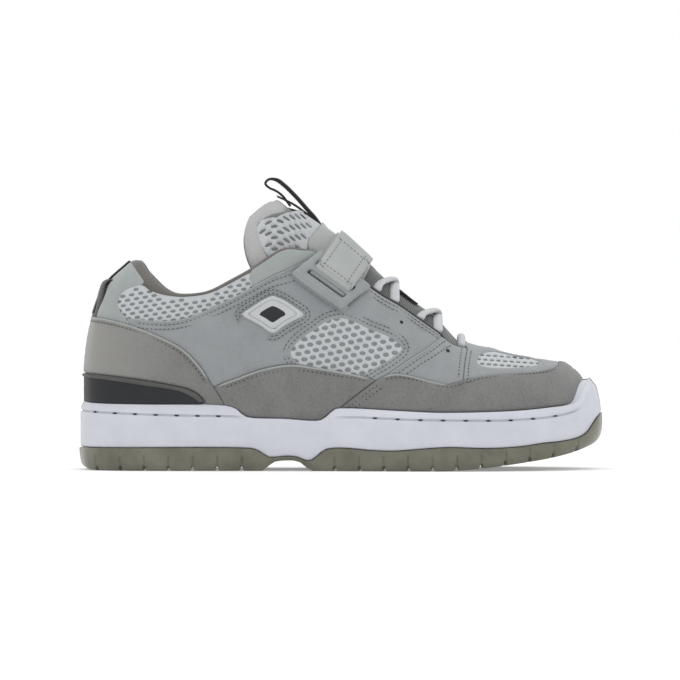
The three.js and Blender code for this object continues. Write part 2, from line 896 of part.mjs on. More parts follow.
function tongue() {
  const thick = (along) => tongueTuck(along) - TONGUE_PAD;
  return form(tongueTuck, { lift: liningFace, drop: DEEP })
    .subtract(form(thick, { lift: liningFace - TONGUE_PAD, drop: 2 * DEEP }))
    .intersect(ahead(edge(TONGUE_REAR, TONGUE_HEIGHT)))
    .intersect(above(wings));
}

// A flat ribbon along a side-view path, bowed round the heel or straight across
function ribbon(rows, thickness, widthAt, bowRadius = 0) {
  const points = rows.map(([along, up]) => new THREE.Vector3(along * LENGTH, 0, up * TONGUE_HEIGHT));
  const path = new THREE.CatmullRomCurve3(points, false, "centripetal");
  const steps = (rows.length - 1) * 2;
  const across = bowRadius > 0 ? 4 : 1;
  const rings = [];
  for (let i = 0; i <= steps; i += 1) {
    const centre = path.getPoint(i / steps);
    const tangent = path.getTangent(i / steps);
    const normal = new THREE.Vector3(-tangent.z, 0, tangent.x).multiplyScalar(thickness / 2);
    const half = widthAt(i / steps) / 2;
    const row = [];
    for (let j = 0; j <= across; j += 1) {
      const y = half * (1 - (2 * j) / across);
      const bow = bowRadius > 0 ? bowRadius - Math.sqrt(bowRadius ** 2 - y ** 2) : 0;
      row.push(new THREE.Vector3(centre.x + bow, y, centre.z));
    }
    const top = row.map((p) => p.clone().add(normal));
    const bottom = backwards(row).map((p) => p.clone().sub(normal));
    rings.push([...top, ...bottom]);
  }
  return loft(rings, true);
}

const heelTab = () =>
  ribbon(HEEL_TAB_PATH, WEBBING, (t) => taper(HEEL_TAB_WIDTHS, t), HEEL_BOW_RADIUS).subtract(
    form(NUBUCK + CLEARANCE),
  );
const onTongue = (made) => made.subtract(form(liningFace + 2 * CLEARANCE));
const tongueLoop = () => onTongue(ribbon(LOOP_PATH, WEBBING, () => LOOP_WIDTH));
const laceKeeper = () => onTongue(ribbon(KEEPER_PATH, KEEPER, () => KEEPER_WIDTH));

// The ring's own directions in the side view: along its long side, and up the strap
const RING_CORNER = at(0.4045, 0.89);
const RING_LONG = new THREE.Vector2(0.812, -0.584);
const RING_SHORT = new THREE.Vector2(0.78, 0.62);
const onRing = (long, short) =>
  RING_CORNER.clone().addScaledVector(RING_LONG, long).addScaledVector(RING_SHORT, short);
const ringBand = (from, to, low, high) => [
  onRing(from, low),
  onRing(to, low),
  onRing(to, high),
  onRing(from, high),
];
const STRAP_FROM = (RING_LENGTH - STRAP_WIDTH) / 2;
const STRAP_TO = STRAP_FROM + STRAP_WIDTH;
const [ANCHOR_SLOT, STRAP_SLOT] = RING_SLOT_SHARES.map((share) => share * RING_HEIGHT);

// Heights of the strap's lower ply, the ring's bar and the folded flap over the quarter
const PLY_FOOT = NUBUCK + 2 * CLEARANCE;
const BAR_FOOT = PLY_FOOT + STRAP_PLY + CLEARANCE;
const FLAP_FOOT = BAR_FOOT + RING_THICKNESS + CLEARANCE;
const FLAP_TOP = FLAP_FOOT + STRAP_PLY;
const RIDGE_SINK = PLY_FOOT - liningFace - CLEARANCE;
const strapLayer = (inner, outer) =>
  form(outer, { lift: outer - RIDGE_SINK, drop: DEEP }).subtract(
    form(inner, { lift: inner - RIDGE_SINK, drop: 2 * DEEP }),
  );

function ring() {
  const outline = ringBand(0, RING_LENGTH, 0, RING_HEIGHT);
  const slots = [ANCHOR_SLOT, STRAP_SLOT].map((low) =>
    prism(ringBand(STRAP_FROM - RING_SLOT_ENDS, STRAP_TO + RING_SLOT_ENDS, low, low + RING_SLOT)),
  );
  const plate = strapLayer(BAR_FOOT, BAR_FOOT + RING_THICKNESS).intersect(prism(outline, -1));
  const foot = strapLayer(PLY_FOOT, BAR_FOOT + RING_THICKNESS).intersect(
    prism(ringBand(0, RING_LENGTH, 0, STRAP_SLOT - CLEARANCE), -1),
  );
  return slots.reduce((made, slot) => made.subtract(slot), plate.add(foot));
}

// The strap's band in the side view, from a height on the ring up past the ridge; dip lowers its foot
const STRAP_RISE = new THREE.Vector2(0.57, 0.82).multiplyScalar(TONGUE_HEIGHT / 2);
const STRAP_SPREAD = [-0.5, -0.3];
function strapRun(from, side, dip = 0) {
  const [rear, front] = [STRAP_FROM, STRAP_TO].map((long) => onRing(long, from));
  const [rearFoot, frontFoot] = [rear, front].map((p, i) => moved([p], STRAP_SPREAD[i] * dip, -dip)[0]);
  return prism([rearFoot, frontFoot, front.add(STRAP_RISE), rear.add(STRAP_RISE)], side);
}

function strap() {
  const [low, high] = [STRAP_SLOT + CLEARANCE, STRAP_SLOT + RING_SLOT - CLEARANCE];
  const ply = strapLayer(PLY_FOOT, PLY_FOOT + STRAP_PLY);
  const flap = strapLayer(FLAP_FOOT, FLAP_TOP);
  const fold = strapLayer(PLY_FOOT, FLAP_TOP);
  return ply
    .intersect(strapRun(low, -1))
    .add(ply.intersect(strapRun(low, 1, STRAP_TUCK)))
    .add(flap.intersect(strapRun(low, -1)).subtract(crownGap()))
    .add(fold.intersect(prism(ringBand(STRAP_FROM, STRAP_TO, low, high), -1)))
    .add(fold.intersect(strapRun(RING_HEIGHT + CLEARANCE, -1)).subtract(crownGap()));
}

// The middle of the shoe's width, which the folded flap doesn't reach
function crownGap() {
  const box = new THREE.BoxGeometry(2 * LENGTH, CROWN_GAP, 2 * SKY);
  box.translate(LENGTH / 2, 0, 0);
  return solid(box);
}

// A point of the upper's face at a place along the shoe, found by halving
function facePoint(along, side, share, offset) {
  let [low, high] = [0, 1];
  for (let i = 0; i < HALVINGS; i += 1) {
    const middle = (low + high) / 2;
    if (formPoint(middle, side, share, { out: offset, lift: offset }).x < along * LENGTH) low = middle;
    else high = middle;
  }
  return formPoint(low, side, share, { out: offset, lift: offset });
}

// The share of the section's rise at which a lace stands just clear of the throat's edge
const throatAt = table([...THROAT.slice(1)].reverse());
function eyeletShare(along, side, offset) {
  let [low, high] = [0.3, 1];
  const edgeHeight = throatAt(along)[0] * COLLAR_HEIGHT + LACE / 2 + EYELET_MARGIN;
  for (let i = 0; i < HALVINGS; i += 1) {
    const share = (low + high) / 2;
    if (facePoint(along, side, share, offset).z < edgeHeight) low = share;
    else high = share;
  }
  return low;
}

// A lace strand from one eyelet over the tongue to the other side
function strand(fromAlong, toAlong, hump) {
  const steps = 10;
  const lift = liningFace + LACE / 2 + 2.5 * CLEARANCE;
  const ends = [eyeletShare(fromAlong, -1, lift), eyeletShare(toAlong, 1, lift)];
  const points = [];
  for (let i = 0; i <= steps; i += 1) {
    const t = i / steps;
    const across = Math.abs(2 * t - 1);
    const [side, end] = t < 0.5 ? [-1, ends[0]] : [1, ends[1]];
    const offset = lift + hump * (1 - ease(0, 0.6, across));
    const share = 1 - (1 - end) * Math.pow(across, 1.6);
    points.push(facePoint(fromAlong + (toAlong - fromAlong) * t, side, share, offset));
  }
  return points;
}

function tube(points, diameter) {
  const path = new THREE.CatmullRomCurve3(points, false, "centripetal");
  const section = new THREE.Shape();
  section.absarc(0, 0, diameter / 2, 0, 2 * Math.PI);
  return solid(new THREE.ExtrudeGeometry(section, { extrudePath: path, steps: 12, curveSegments: 3 }));
}

// How far the bar and the upper strand of a crossing rise over the tongue, as shares of the lace
const BAR_HUMP = 0.4;
const OVER_HUMP = 0.85;
const laceBar = () =>
  tube(strand(LACE_BAR, LACE_BAR, LACE * BAR_HUMP), LACE).subtract(form(liningFace + CLEARANCE));
const laceCrossing = (low, high) =>
  tube(strand(low, high, 0), LACE).add(tube(strand(high, low, LACE * OVER_HUMP), LACE));

// Finishes
const finish = (color, roughness) => new THREE.MeshStandardMaterial({ color, roughness, metalness: 0 });
const SUEDE_FINISH = finish(0x8a8a87, 0.95);
const NUBUCK_FINISH = finish(0x92979a, 0.9);
const PALE_NUBUCK_FINISH = finish(0xa5acaa, 0.9);
const MESH_FINISH = finish(0xdadcdd, 0.85);
const LINING_FINISH = finish(0x73706c, 0.95);
const WHITE_RUBBER_FINISH = finish(0xd6d8e0, 0.55);
const GUM_RUBBER_FINISH = finish(0x70705e, 0.45);
const CHARCOAL_FINISH = finish(0x38383a, 0.6);
const RING_FINISH = finish(0xa6aaac, 0.35);
const STRAP_FINISH = finish(0xb4b8b6, 0.85);
const WEBBING_FINISH = finish(0x202022, 0.85);
const LACE_FINISH = finish(0xe6e8ea, 0.9);

// Cuts leave vertices along flat faces; those that matter less than this are dropped
const FLATNESS = 0.03;

const shoe = new THREE.Group();
shoe.position.x = -(HEEL_NOTCHES[0] * LENGTH + 1.5 * LUG_PITCH);

function add(name, made, material) {
  const { vertProperties, triVerts } = made.simplify(FLATNESS).getMesh();
  const geometry = new THREE.BufferGeometry();
  geometry.setAttribute("position", new THREE.Float32BufferAttribute(vertProperties, 3));
  geometry.setIndex(new THREE.Uint32BufferAttribute(triVerts, 1));
  geometry.computeVertexNormals();
  const mesh = new THREE.Mesh(geometry, material);
  mesh.name = name;
  shoe.add(mesh);
}

add("outsole", outsole(), GUM_RUBBER_FINISH);
add("midsole", midsole(), WHITE_RUBBER_FINISH);
add("insole", insole(), LINING_FINISH);
add("upper", upper(), MESH_FINISH);
add("collar_lining", collarLining(), LINING_FINISH);
add("heel_counter", heelCounter(), SUEDE_FINISH);
add("heel_insert", heelInsert(), CHARCOAL_FINISH);
add("heel_panel", heelPanel(), PALE_NUBUCK_FINISH);
add("toe_wrap", toeWrap(), SUEDE_FINISH);
add("vamp", vamp(), NUBUCK_FINISH);
for (const [name, side] of [["lateral", -1], ["medial", 1]]) {
  add(`side_panel_${name}`, sidePanel(side), SUEDE_FINISH);
  add(`quarter_${name}`, quarter(side), NUBUCK_FINISH);
  add(`fore_stay_${name}`, foreStay(side), PALE_NUBUCK_FINISH);
  add(`ankle_panel_${name}`, anklePanel(side), PALE_NUBUCK_FINISH);
}
add("side_badge", badge(), RING_FINISH);
add("tongue", tongue(), MESH_FINISH);
add("strap", strap(), STRAP_FINISH);
add("strap_ring", ring(), RING_FINISH);
add("heel_tab", heelTab(), WEBBING_FINISH);
add("tongue_loop", tongueLoop(), WEBBING_FINISH);
add("lace_keeper", laceKeeper(), WEBBING_FINISH);
add("lace_bar", laceBar(), LACE_FINISH);
for (const [name, low, high] of LACE_CROSSINGS) {
  add(`lace_crossing_${name}`, laceCrossing(low, high), LACE_FINISH);
}

// The tab is widest where it is sewn down and narrowest at its fold
function taper([foot, fold], t) {
  return foot + (fold - foot) * (1 - Math.abs(2 * t - 1));
}

export default shoe;
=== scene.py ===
# %% [markdown]
# # A skateboarding shoe
# This lesson dresses a plain model of a skate shoe in Blender. The plain model holds every piece at its
# real size. Each cell below makes one piece or one finish, the way a shoemaker would: last first, then
# sole, panels, trim.

# %% Load the plain model
import math

import bpy
import numpy as np
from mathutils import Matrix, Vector
from mathutils.geometry import delaunay_2d_cdt


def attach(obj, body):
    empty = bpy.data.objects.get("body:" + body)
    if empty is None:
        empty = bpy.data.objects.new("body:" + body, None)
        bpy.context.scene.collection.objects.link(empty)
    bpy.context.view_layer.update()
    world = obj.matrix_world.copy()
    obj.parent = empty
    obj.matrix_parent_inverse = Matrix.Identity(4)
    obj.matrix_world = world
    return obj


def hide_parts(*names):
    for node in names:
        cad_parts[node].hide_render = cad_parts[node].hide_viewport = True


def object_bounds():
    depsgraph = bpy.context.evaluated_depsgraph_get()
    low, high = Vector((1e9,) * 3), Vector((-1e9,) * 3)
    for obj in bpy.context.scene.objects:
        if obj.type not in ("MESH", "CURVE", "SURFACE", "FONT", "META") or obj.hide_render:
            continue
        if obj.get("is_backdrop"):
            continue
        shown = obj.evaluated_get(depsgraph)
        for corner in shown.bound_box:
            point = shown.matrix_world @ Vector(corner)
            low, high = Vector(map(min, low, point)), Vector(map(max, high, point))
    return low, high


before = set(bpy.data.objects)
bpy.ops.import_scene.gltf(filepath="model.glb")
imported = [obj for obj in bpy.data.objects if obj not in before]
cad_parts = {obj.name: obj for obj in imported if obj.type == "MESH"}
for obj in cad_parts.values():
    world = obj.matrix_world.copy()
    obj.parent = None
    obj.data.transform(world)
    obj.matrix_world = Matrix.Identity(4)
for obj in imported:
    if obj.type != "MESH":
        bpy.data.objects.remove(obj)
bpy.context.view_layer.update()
BODY = "root"

# %% [markdown]
# ## The last
# A shoe is built over a last, a solid foot shape. The same few tables that shaped the plain model shape it
# here, so a panel made on this last meets the plain solids. The tables hold shares of the named sizes. A
# curve goes through each table without overshoot, so a designer can change one row and trust the rest.

# %% Sizes and tables
MM = 0.001
TURN = 6.2832  # one whole wave, in radians
LENGTH, BALL_WIDTH, HEEL_WIDTH = 302.0, 112.0, 83.0
SOLE_HEIGHT, COLLAR_HEIGHT, TONGUE_HEIGHT, FOOTBED_HEIGHT = 38.0, 127.5, 159.0, 21.0
CLEARANCE, UPPER_WALL, NUBUCK, SUEDE, HEEL_INSERT = 0.3, 2.2, 1.4, 2.2, 3.4
LUG_PITCH, HEEL_NOTCHES, FORE_NOTCHES = 14.0, (0.034, 7), (0.487, 11)
NOTCH_HEIGHT = 2.4
ORIGIN_X = HEEL_NOTCHES[0] * LENGTH + 1.5 * LUG_PITCH
HEEL_LEAN = 6.5
TOE_DROP = [(0.854, 0), (0.887, 0.8), (0.919, 1.9), (0.944, 3.3), (0.963, 1.5)]  # along, millimetres
LATERAL, MEDIAL = -1, 1
SIDE_NAMES = {LATERAL: "lateral", MEDIAL: "medial"}

OUTLINE = [  # lateral along, lateral out, medial along, medial out
    (0, 0, 0, 0), (0.013, 0.46, 0.013, 0.46), (0.046, 0.77, 0.046, 0.77), (0.106, 0.95, 0.106, 0.95),
    (0.192, 1, 0.192, 0.99), (0.298, 0.99, 0.291, 0.89), (0.397, 0.96, 0.391, 0.78),
    (0.497, 0.945, 0.483, 0.78),
    (0.596, 0.96, 0.57, 0.87), (0.689, 0.965, 0.656, 0.97), (0.775, 0.93, 0.735, 1.035),
    (0.854, 0.81, 0.815, 1.02),
    (0.921, 0.61, 0.887, 0.92), (0.967, 0.36, 0.947, 0.74), (0.993, 0.07, 0.985, 0.48), (1, -0.16, 1, 0.16),
]
SECTIONS = [  # along, ridge, footbed, shoulder, crown
    (0, 0.818, 1.05, 3.2, 1.05), (0.13, 0.818, 1.03, 3.6, 1.3), (0.2, 0.843, 1, 3.8, 2.1),
    (0.3, 0.925, 0.95, 3.2, 2.4), (0.375, 1.018, 0.91, 2.6, 2.2), (0.44, 0.937, 0.85, 2.1, 1.95),
    (0.497, 0.858, 0.78, 1.9, 1.9), (0.55, 0.766, 0.75, 1.8, 1.8), (0.613, 0.657, 0.72, 1.8, 1.8),
    (0.68, 0.566, 0.72, 1.9, 1.9), (0.72, 0.486, 0.76, 2, 2), (0.745, 0.45, 0.79, 2.1, 2),
    (0.805, 0.425, 0.86, 2.2, 2.1), (0.88, 0.396, 1.02, 2.4, 2.3), (1, 0.387, 1.33, 2.6, 2.6),
]
STANCE = [  # along, inset, swell
    (0, 6, 2), (0.1, 6.5, 2.4), (0.3, 6.5, 3), (0.6, 6.5, 2.5), (0.85, 7.5, 2), (0.96, 10, 1.6),
    (1, 11, 1.5),
]


def table(rows):
    """A smooth curve through a table's columns, without overshoot."""
    rows = np.array(rows, float)
    x, y = rows[:, 0], rows[:, 1:]
    rise = np.diff(y, axis=0) / np.diff(x)[:, None]
    slope = np.vstack([rise[:1], np.zeros((len(x) - 2, y.shape[1])), rise[-1:]])
    before, after = rise[:-1], rise[1:]
    same = before * after > 0
    slope[1:-1][same] = 2 * before[same] * after[same] / (before[same] + after[same])

    def at(value):
        value = np.clip(np.asarray(value, float), x[0], x[-1])
        i = np.clip(np.searchsorted(x, value, side="right") - 1, 0, len(x) - 2)
        span = (x[i + 1] - x[i])[..., None]
        t = ((value - x[i]) / (x[i + 1] - x[i]))[..., None]
        made = y[i] * (1 + 2 * t) * (1 - t) ** 2 + y[i + 1] * t * t * (3 - 2 * t)
        made += span * (slope[i] * t * (1 - t) ** 2 - slope[i + 1] * t * t * (1 - t))
        return np.moveaxis(made, -1, 0)

    return at


def ease(low, high, value):
    t = np.clip((np.asarray(value, float) - low) / (high - low), 0, 1)
    return t * t * (3 - 2 * t)


section_at, stance_at = table(SECTIONS), table(STANCE)
outline_at = table([(i / (len(OUTLINE) - 1), *row) for i, row in enumerate(OUTLINE)])

# %% Points on the last
RIDGE_FROM, RIDGE_TO, RIDGE_SOFTNESS = 0.126 * LENGTH, 0.917 * LENGTH, 8.0


def outline_place(station, side):
    """The sole's outline at a station from 0, the heel tip, to 1, the toe tip."""
    values = outline_at(station)
    along, out = (values[0], values[1]) if side < 0 else (values[2], values[3])
    half = (HEEL_WIDTH + (BALL_WIDTH - HEEL_WIDTH) * ease(0.3, 0.7, along)) / 2
    return along * LENGTH, side * out * half


def outline_point(station, side):
    """A place on the outline and the direction out of the sole there."""
    station = np.asarray(station, float)
    step = 0.004
    x, y = outline_place(station, side)
    x0, y0 = outline_place(np.maximum(station - step, 0), side)
    x1, y1 = outline_place(np.minimum(station + step, 1), side)
    out_x, out_y = -(y1 - y0) * side, (x1 - x0) * side
    size = np.hypot(out_x, out_y)
    out_x, out_y = out_x / size, out_y / size
    ends = (station <= 0) | (station >= 1)
    out_x = np.where(ends, np.where(station <= 0, -1.0, 1.0), out_x)
    return x, y, out_x, np.where(ends, 0.0, out_y)


def softly(value):
    return RIDGE_SOFTNESS * np.log1p(np.exp(value / RIDGE_SOFTNESS))


def on_last(station, side, share, out=0.0, lift=None):
    """Points of the upper's face, in millimetres from the heel tip; out and lift stand off it."""
    station, share, out = np.broadcast_arrays(np.asarray(station, float), share, out)
    lift = out if lift is None else lift
    bases = {}
    for which in (LATERAL, MEDIAL):
        x, y, dx, dy = outline_point(station, which)
        inset, swell = stance_at(x / LENGTH)
        bases[which] = (x + dx * (out - inset), y + dy * (out - inset), dx, dy, swell)
    ridge_x = (bases[LATERAL][0] + bases[MEDIAL][0]) / 2
    ridge_y = (bases[LATERAL][1] + bases[MEDIAL][1]) / 2
    ridge_x = RIDGE_TO - softly(RIDGE_TO - RIDGE_FROM - softly(ridge_x - RIDGE_FROM))
    x, y, dx, dy, swell = bases[side]
    height, _, shoulder, crown = section_at((x + (ridge_x - x) * share) / LENGTH)
    reach = np.power(np.maximum(1 - np.power(share, shoulder), 0), 1 / crown)
    bulge = swell * np.sin(math.pi * np.power(share, 0.7))
    floor = section_at(x / LENGTH)[1] * FOOTBED_HEIGHT
    rise = (height * TONGUE_HEIGHT + out - floor) * share + (lift - out) * np.power(share, 12)
    along, up = ridge_x + (x - ridge_x) * reach + dx * bulge, floor + rise
    # The foam behind the ankle leans the top of the heel forward
    drop = np.interp(along / LENGTH, *zip(*TOE_DROP))
    up = up - drop * ease(0.15, 0.7, share)
    along = along + HEEL_LEAN * ease(0.82 * COLLAR_HEIGHT, 0.97 * COLLAR_HEIGHT,
                                     up) * (1 - ease(22, 52, along))
    return np.stack([along, ridge_y + (y - ridge_y) * reach + dy * bulge, up], -1)


STEPS = np.linspace(0, 1, 2001)
GIRTH = 95.0


def arc_lengths(side):
    x, y = outline_place(STEPS, side)
    return np.concatenate([[0], np.cumsum(np.hypot(np.diff(x), np.diff(y)))])


ARC = {side: arc_lengths(side) for side in (LATERAL, MEDIAL)}


def find_on_last(points, side, out=0.0, lift=None):
    """Station and share of side-view points (x, z), by Newton's steps."""
    x, z = np.array(points, float).T
    base_x = outline_place(STEPS, side)[0]
    station = np.interp(x, base_x, STEPS)
    floor = section_at(x / LENGTH)[1] * FOOTBED_HEIGHT
    share = np.clip((z - floor) / (section_at(x / LENGTH)[0] * TONGUE_HEIGHT - floor), 0.02, 0.98)
    h = 1e-4
    for _ in range(40):
        p = on_last(station, side, share, out, lift)
        a = (on_last(station + h, side, share, out, lift) - p) / h
        b = (on_last(station, side, share - h, out, lift) - p) / -h
        ex, ez = x - p[..., 0], z - p[..., 2]
        det = a[..., 0] * b[..., 2] - a[..., 2] * b[..., 0]
        det = np.where(np.abs(det) < 1e-6, 1e-6, det)
        du = np.clip((ex * b[..., 2] - ez * b[..., 0]) / det, -0.03, 0.03)
        dq = np.clip((ez * a[..., 0] - ex * a[..., 2]) / det, -0.08, 0.08)
        station = np.clip(station + du * 0.8, h, 1 - 2 * h)
        share = np.clip(share + dq * 0.8, 2 * h, 1 - h)
    return station, share


heel_to_toe = on_last(np.linspace(0, 1, 5), LATERAL, 0.5)
print("points half way up the outer side:", heel_to_toe.round(1).tolist())

# %% [markdown]
# ## Cutting a panel
# A shoemaker draws each panel flat, cuts it from hide or mesh, and bends it over the last. The flat drawing
# here is a chart of the last: millimetres round the sole's edge against height. Inside the drawn outline a
# triangle mesh is made, with rings of points along the cut edges so that these can be rounded. Holes are
# drawn the same way. Booleans would cut the same shapes, but they leave ragged shading along every edge.

# %% Charts, outlines and meshes
def chart_of(station, side, share, kind):
    """Chart places: 'heel' and 'toe' run round those ends, 'ridge' runs over the top."""
    arc = np.interp(station, STEPS, ARC[side])
    if kind == "heel":
        return np.stack([side * arc, share * GIRTH], -1)
    if kind == "toe":
        return np.stack([side * (ARC[side][-1] - arc), share * GIRTH], -1)
    return np.stack([station * LENGTH, side * (1 - share) * GIRTH], -1)


def from_chart(places, kind, out, lift=None):
    """Points on the last for chart places, each on the side that it falls on."""
    a, b = places[:, 0], places[:, 1]
    made = np.zeros((len(places), 3))
    out = np.broadcast_to(out, len(places))
    lift = out if lift is None else np.broadcast_to(lift, len(places))
    for side in (LATERAL, MEDIAL):
        mine = (b if kind == "ridge" else a) * side >= 0
        if kind == "heel":
            station, share = np.interp(np.abs(a[mine]), ARC[side], STEPS), b[mine] / GIRTH
        elif kind == "toe":
            station, share = np.interp(ARC[side][-1] - np.abs(a[mine]), ARC[side], STEPS), b[mine] / GIRTH
        else:
            station, share = a[mine] / LENGTH, 1 - np.abs(b[mine]) / GIRTH
        made[mine] = on_last(station, side, np.clip(share, 0, 1), out[mine], lift[mine])
    return made


def smooth_line(rows, height, detail=8, closed=False):
    """A side-view line in millimetres through a table of shares (centripetal Catmull-Rom)."""
    points = np.array(rows, float) * (LENGTH, height)
    points = np.vstack([points[-1:], points, points[:2]]) if closed else np.vstack(
        [2 * points[0] - points[1], points, 2 * points[-1] - points[-2]]
    )
    made = []
    for p0, p1, p2, p3 in zip(points, points[1:], points[2:], points[3:]):
        t1 = max(np.hypot(*(p1 - p0)) ** 0.5, 1e-6)
        t2 = t1 + max(np.hypot(*(p2 - p1)) ** 0.5, 1e-6)
        t3 = t2 + max(np.hypot(*(p3 - p2)) ** 0.5, 1e-6)
        t = np.linspace(t1, t2, detail, endpoint=False)[:, None]
        a1 = p0 + (p1 - p0) * t / t1
        a2 = p1 + (p2 - p1) * (t - t1) / (t2 - t1)
        a3 = p2 + (p3 - p2) * (t - t2) / (t3 - t2)
        b1 = a1 + (a2 - a1) * t / t2
        b2 = a2 + (a3 - a2) * (t - t1) / (t3 - t1)
        made.append(b1 + (b2 - b1) * (t - t1) / (t2 - t1))
    made = np.vstack(made)
    return made if closed else np.vstack([made, points[-2:-1]])


def line_height(points):
    """A side-view line as a height for each x."""
    order = np.argsort(points[:, 0])
    return lambda x: np.interp(x, points[order, 0], points[order, 1])


def evenly(points, spacing, closed=True):
    """The same polyline with points at an even spacing, its corners kept."""
    if closed:
        points = np.vstack([points, points[:1]])
    steps = np.hypot(*np.diff(points, axis=0).T)
    points, steps = points[np.concatenate([[True], steps > 1e-4])], steps[steps > 1e-4]
    turn = np.diff(points, axis=0) / steps[:, None]
    inner = 1 + np.where((turn[:-1] * turn[1:]).sum(1) < 0.9)[0]
    corners = [0, *inner, len(points) - 1]
    made = []
    for start, end in zip(corners, corners[1:]):
        run = points[start : end + 1]
        along = np.concatenate([[0], np.cumsum(np.hypot(*np.diff(run, axis=0).T))])
        count = max(int(round(along[-1] / spacing)), 1)
        t = np.linspace(0, along[-1], count, endpoint=False)
        made.append(np.stack([np.interp(t, along, run[:, 0]), np.interp(t, along, run[:, 1])], -1))
    made.append(points[-1:])
    made = np.vstack(made)
    return made[:-1] if closed else made


def edge_distance(places, loops):
    """Distance of each place from the nearest drawn edge."""
    best = np.full(len(places), 1e9)
    for loop in loops:
        a, b = loop, np.roll(loop, -1, 0)
        run = b - a
        size = np.maximum((run**2).sum(1), 1e-12)
        for start in range(0, len(places), 2000):
            part = places[start : start + 2000]
            t = np.clip(((part[:, None] - a) * run).sum(-1) / size, 0, 1)
            gap = part[:, None] - (a + t[..., None] * run)
            best[start : start + 2000] = np.minimum(best[start : start + 2000],
                                                    np.sqrt((gap**2).sum(-1)).min(1))
    return best


def inside(places, loops):
    """Which places lie inside the outline and outside its holes."""
    odd = np.zeros(len(places), bool)
    for loop in loops:
        a, b = loop, np.roll(loop, -1, 0)
        for start in range(0, len(places), 4000):
            x, y = places[start : start + 4000, :1], places[start : start + 4000, 1:]
            crosses = (a[:, 1] > y) != (b[:, 1] > y)
            rise = np.where(b[:, 1] == a[:, 1], 1e-12, b[:, 1] - a[:, 1])
            hits = crosses & (x < (b[:, 0] - a[:, 0]) * (y - a[:, 1]) / rise + a[:, 0])
            odd[start : start + 4000] ^= hits.sum(1) % 2 == 1
    return odd


def flat_mesh(loops, spacing, rings, grid=None):
    """Triangles inside drawn loops, with rings of points along the edges."""
    grid = spacing * 1.7 if grid is None else grid
    points = list(np.vstack(loops))
    edges, start = [], 0
    for loop in loops:
        edges += [(start + i, start + (i + 1) % len(loop)) for i in range(len(loop))]
        start += len(loop)
    extra = []
    for loop in loops:
        along = np.roll(loop, -1, 0) - np.roll(loop, 1, 0)
        normal = np.stack([-along[:, 1], along[:, 0]], -1) / np.maximum(np.hypot(*along.T), 1e-9)[:, None]
        for ring in rings:
            for sign in (-1, 1):
                ringed = loop + sign * ring * normal
                good = inside(ringed, loops) & (edge_distance(ringed, loops) > 0.85 * ring)
                extra.append(ringed[good])
    low, high = loops[0].min(0), loops[0].max(0)
    rows = np.arange(low[1], high[1], grid * 0.87)
    mesh = [
        np.stack([across, np.full_like(across, y)], -1)
        for i, y in enumerate(rows) for across in [np.arange(low[0] + (i % 2) * grid / 2, high[0], grid)]
    ]
    mesh = np.vstack(mesh) if mesh else np.zeros((0, 2))
    mesh = mesh[inside(mesh, loops)] if len(mesh) else mesh
    margin = (max(rings) if rings else 0) + grid * 0.45
    mesh = mesh[edge_distance(mesh, loops) > margin] if len(mesh) else mesh
    extra.append(mesh)
    everything = np.vstack([points, *extra])
    made = delaunay_2d_cdt([Vector(p) for p in everything], edges, [], 0, 1e-5)
    places = np.array([tuple(v) for v in made[0]])
    faces = np.array([f for f in made[2] if len(f) == 3])
    kept = faces[inside(places[faces].mean(1), loops)]
    corner = places[kept]
    area = np.cross(corner[:, 1] - corner[:, 0], corner[:, 2] - corner[:, 0])
    kept = kept[np.abs(area) > 1e-7]
    area = area[np.abs(area) > 1e-7]
    kept[area < 0] = kept[area < 0][:, ::-1]
    used = np.unique(kept)
    remap = np.full(len(places), -1)
    remap[used] = np.arange(len(used))
    return places[used], remap[kept]


def make_mesh(name, points, faces, material, smooth_below=40.0, attributes=None, uv=None):
    """A mesh object from millimetre points, faces turned out, its edges sharp past an angle."""
    mesh = bpy.data.meshes.new(name)
    points = (np.asarray(points, float) - (ORIGIN_X, 0, 0)) * MM
    mesh.from_pydata(points.tolist(), [], [tuple(int(i) for i in f) for f in faces])
    mesh.polygons.foreach_set("use_smooth", np.ones(len(mesh.polygons), bool))
    mesh.set_sharp_from_angle(angle=math.radians(smooth_below))
    for key, values in (attributes or {}).items():
        mesh.attributes.new(key, "FLOAT", "POINT").data.foreach_set("value", np.asarray(values, np.float32))
    if uv is not None:
        loops = np.zeros(len(mesh.loops), np.int32)
        mesh.loops.foreach_get("vertex_index", loops)
        mesh.uv_layers.new(name="UVMap").data.foreach_set("uv",
                (np.asarray(uv)[loops] * MM).astype(np.float32).ravel())
    mesh.materials.append(material)
    made = bpy.data.objects.new(name, mesh)
    bpy.context.scene.collection.objects.link(made)
    return made


def settle(piece, slot, *nodes):
    """Attaches the piece to what it rides on and hides the plain solids that it stands for; slot is not used.
    """
    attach(piece, BODY)
    if nodes:
        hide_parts(*nodes)
    faces = len(piece.data.polygons)
    print(f"{piece.name}: {faces} faces")
    return piece


def rounded(distance, radius, foot=0.25):
    """Height of a rounded edge, from foot at the cut to 1 past the radius."""
    t = np.clip(distance / radius, 0, 1)
    return foot + (1 - foot) * np.sqrt(np.maximum(1 - (1 - t) ** 2, 0))


